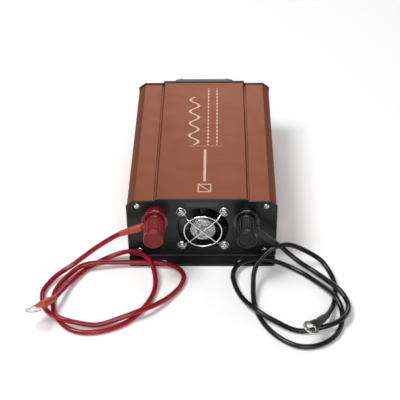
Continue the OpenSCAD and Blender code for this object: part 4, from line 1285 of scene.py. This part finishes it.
@dataclass
class OutletSide:
    """What the rear panel carries: the mains outlet, the switch, the USB port, lamps and earth."""

    panel_y: float = 0.116
    side: float = 0.05025
    switch_z: float = 0.042
    lamp_z: float = 0.054
    lamp_x: tuple[float, float] = (-0.05525, -0.04525)
    lamp: float = 0.0015
    tilt: float = -10.0

    def lamps(self) -> None:
        """Two round lamps: a dome on a short drum, and a flange behind the panel."""
        turn = np.linspace(math.pi / 2, 0, 14)
        dome = np.stack([self.lamp * np.cos(turn), 0.001 + self.lamp * np.sin(turn)], -1)
        rim = self.lamp + 0.00045
        drum = [(self.lamp, -0.002), (rim, -0.002), (rim, -0.005), (0.0, -0.005)]
        for node, x, finish, slot in (("power_led", self.lamp_x[0], GREEN_LAMP, "lamp_green"),
                                      ("fault_led", self.lamp_x[1], RED_LAMP, "lamp_red")):
            stand = Stand((x, self.panel_y, self.lamp_z), (0.0, 1.0, 0.0))
            skin = Skin(f"{node}_domed").turn(stand, np.concatenate([dome, drum]), 48)
            dress(skin.mesh(40.0), finish, slot, nodes=[node])

    def rocker_marks(self) -> None:
        """The plain bar and ring printed on the two halves of the rocker."""
        tilt = math.radians(self.tilt)
        spin = np.array([(math.cos(tilt), -math.sin(tilt)), (math.sin(tilt), math.cos(tilt))])
        pivot = np.array([self.panel_y - 0.001, self.switch_z])
        skin = Skin("switch_rocker_marks")
        for up, lean in ((0.0037, -0.081), (-0.0037, 0.081)):
            face = pivot + spin @ np.array([0.0033 + 0.081 * 0.0037, up])
            way = spin @ np.array([math.cos(lean), math.sin(lean)])
            stand = Stand((self.side, *face), (0.0, *way))
            if up > 0:
                corners = [(0.0002, -0.0014), (0.0002, 0.0014), (-0.0002, 0.0014), (-0.0002, -0.0014)]
                bar = soften(corners, 0.0001, 2, closed=True)
                rows = np.stack([np.c_[bar, 0 * bar[:, 0] + h] for h in (-0.0001, 0.00006)])
                skin.grid(stand.put(rows), caps=True)
            else:
                hoop = [(0.0010, -0.0001), (0.0014, -0.0001), (0.0014, 0.00006), (0.0010, 0.00006)]
                skin.turn(stand, hoop, 48, loop=True)
        dress(skin.mesh(30.0), WHITE_PLASTIC, "usb_insulator", "rocker")

    def build(self) -> None:
        """Makes the rear fittings."""
        refine("outlet_housing", OUTLET, "outlet_black", 0.0006)
        refine("outlet_insert", OUTLET, "outlet_black", 0.0003)
        refine("outlet_lid", OUTLET, "outlet_black", 0.0005, "outlet_lid")
        refine("outlet_earth_clips", NICKEL, "brass", 0.0002)
        refine("outlet_screws", ZINC, "screw_zinc", 0.00012)
        refine("switch_bezel", SWITCH, "switch_black", 0.0004)
        refine("switch_rocker", SWITCH, "switch_black", 0.0005, "rocker")
        refine("usb_shell", NICKEL, "usb_metal", 0.00012)
        refine("usb_tongue", WHITE_PLASTIC, "usb_insulator", 0.0002)
        refine("earth_terminal", ZINC, "screw_zinc", 0.0003)
        repaint("outlet_contacts", BRASS)
        repaint("outlet_lid_pin", ZINC)
        self.lamps()
        self.rocker_marks()


# ---- inside --------------------------------------------------------------------------


@dataclass
class Inside:
    """The parts on the boards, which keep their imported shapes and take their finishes."""

    finishes: dict[str, Finish] = field(default_factory=lambda: {
        "main_board": BOARD, "control_board": BOARD, "transformer_core": FERRITE, "transformer_winding": TAPE,
        "input_capacitors": CAN, "bus_capacitors": CAN, "output_inductor": ENAMEL, "power_transistors": EPOXY,
        "clamp_bars": BAR, "blade_fuses": FUSE, "red_inner_lead": RED_WIRE, "black_inner_lead": BLACK_WIRE,
        "ac_leads": BROWN_WIRE})

    def build(self) -> None:
        """Paints them all."""
        for node, finish in self.finishes.items():
            repaint(node, finish)


# ---- studio --------------------------------------------------------------------------


@dataclass
class Studio:
    """The camera, the floor and the soft light."""

    camera_at: tuple[float, float, float] = (0.015849, -0.856026, 0.652607)
    pitch: float = 37.447
    yaw: float = -1.294
    roll: float = -0.826
    lens: float = 94.8
    sensor: float = 36.0

    def camera(self) -> None:
        """The camera, looking down at the front of the case."""
        e, a, r = (math.radians(v) for v in (self.pitch, self.yaw, self.roll))
        look = np.array([math.sin(a) * math.cos(e), math.cos(a) * math.cos(e), -math.sin(e)])
        right = np.array([math.cos(a), -math.sin(a), 0.0])
        up = np.cross(right, look)
        side, top = math.cos(r) * right + math.sin(r) * up, math.cos(r) * up - math.sin(r) * right
        data = bpy.data.cameras.new("camera")
        data.lens, data.sensor_width, data.clip_start = self.lens, self.sensor, 0.01
        camera = bpy.data.objects.new("camera", data)
        turned_to = Matrix(np.stack([side, top, -look], -1).tolist()).to_4x4()
        camera.matrix_world = Matrix.Translation(self.camera_at) @ turned_to
        bpy.context.scene.collection.objects.link(camera)
        bpy.context.scene.camera = camera

    def lamp(self, name: str, at: tuple[float, float, float], size: float, watts: float) -> None:
        """Adds a square soft light that faces the case.

        Args:
            name: the light's name.
            at: its place.
            size: its side.
            watts: its power.
        """
        data = bpy.data.lights.new(name, "AREA")
        data.shape, data.size, data.energy = "SQUARE", size, watts
        light = bpy.data.objects.new(name, data)
        bpy.context.scene.collection.objects.link(light)
        light.location = at
        aim = -light.location
        light.rotation_euler = aim.to_track_quat("-Z", "Y").to_euler()

    def floor(self) -> None:
        """The pale floor just under the case."""
        data = bpy.data.meshes.new("floor")
        far = 6.0
        under = -0.0003
        corners = [(-far, -far, under), (far, -far, under), (far, far, under), (-far, far, under)]
        data.from_pydata(corners, [], [(0, 1, 2, 3)])
        floor = add("floor", data)
        data.materials.append(SWEPT_FLOOR.material())

    def light(self) -> None:
        """The lights and the even surround."""
        world = bpy.data.worlds.new("surround")
        bpy.context.scene.world = world
        world.use_nodes = True
        world.node_tree.nodes["Background"].inputs[0].default_value = (1.0, 1.0, 1.0, 1.0)
        world.node_tree.nodes["Background"].inputs[1].default_value = 0.2
        self.lamp("key_light", (-0.8, -0.3, 1.6), 0.7, 22.0)
        self.lamp("front_light", (0.1, -1.6, 1.2), 0.8, 15.0)
        self.lamp("side_light", (1.6, 0.3, 0.6), 0.7, 3.0)
        self.lamp("back_light", (0.1, 1.9, 1.0), 1.3, 13.0)
        bpy.context.scene.view_settings.view_transform = "Standard"


def main() -> None:
    """Builds the scene in order: the camera and the leads first."""
    logging.basicConfig(level=logging.INFO, format="%(name)s: %(message)s")
    studio = Studio()
    studio.camera()
    for part in (RED_LEAD, BLACK_LEAD, Case(), Fan(), BatteryPost(Pole.RED, RED_BASE, RED_KNOB),
                 BatteryPost(Pole.BLACK, BLACK_BASE, BLACK_KNOB), OutletSide(), Inside()):
        part.build()
    studio.floor()
    studio.light()


if __name__ == "__main__":
    main()
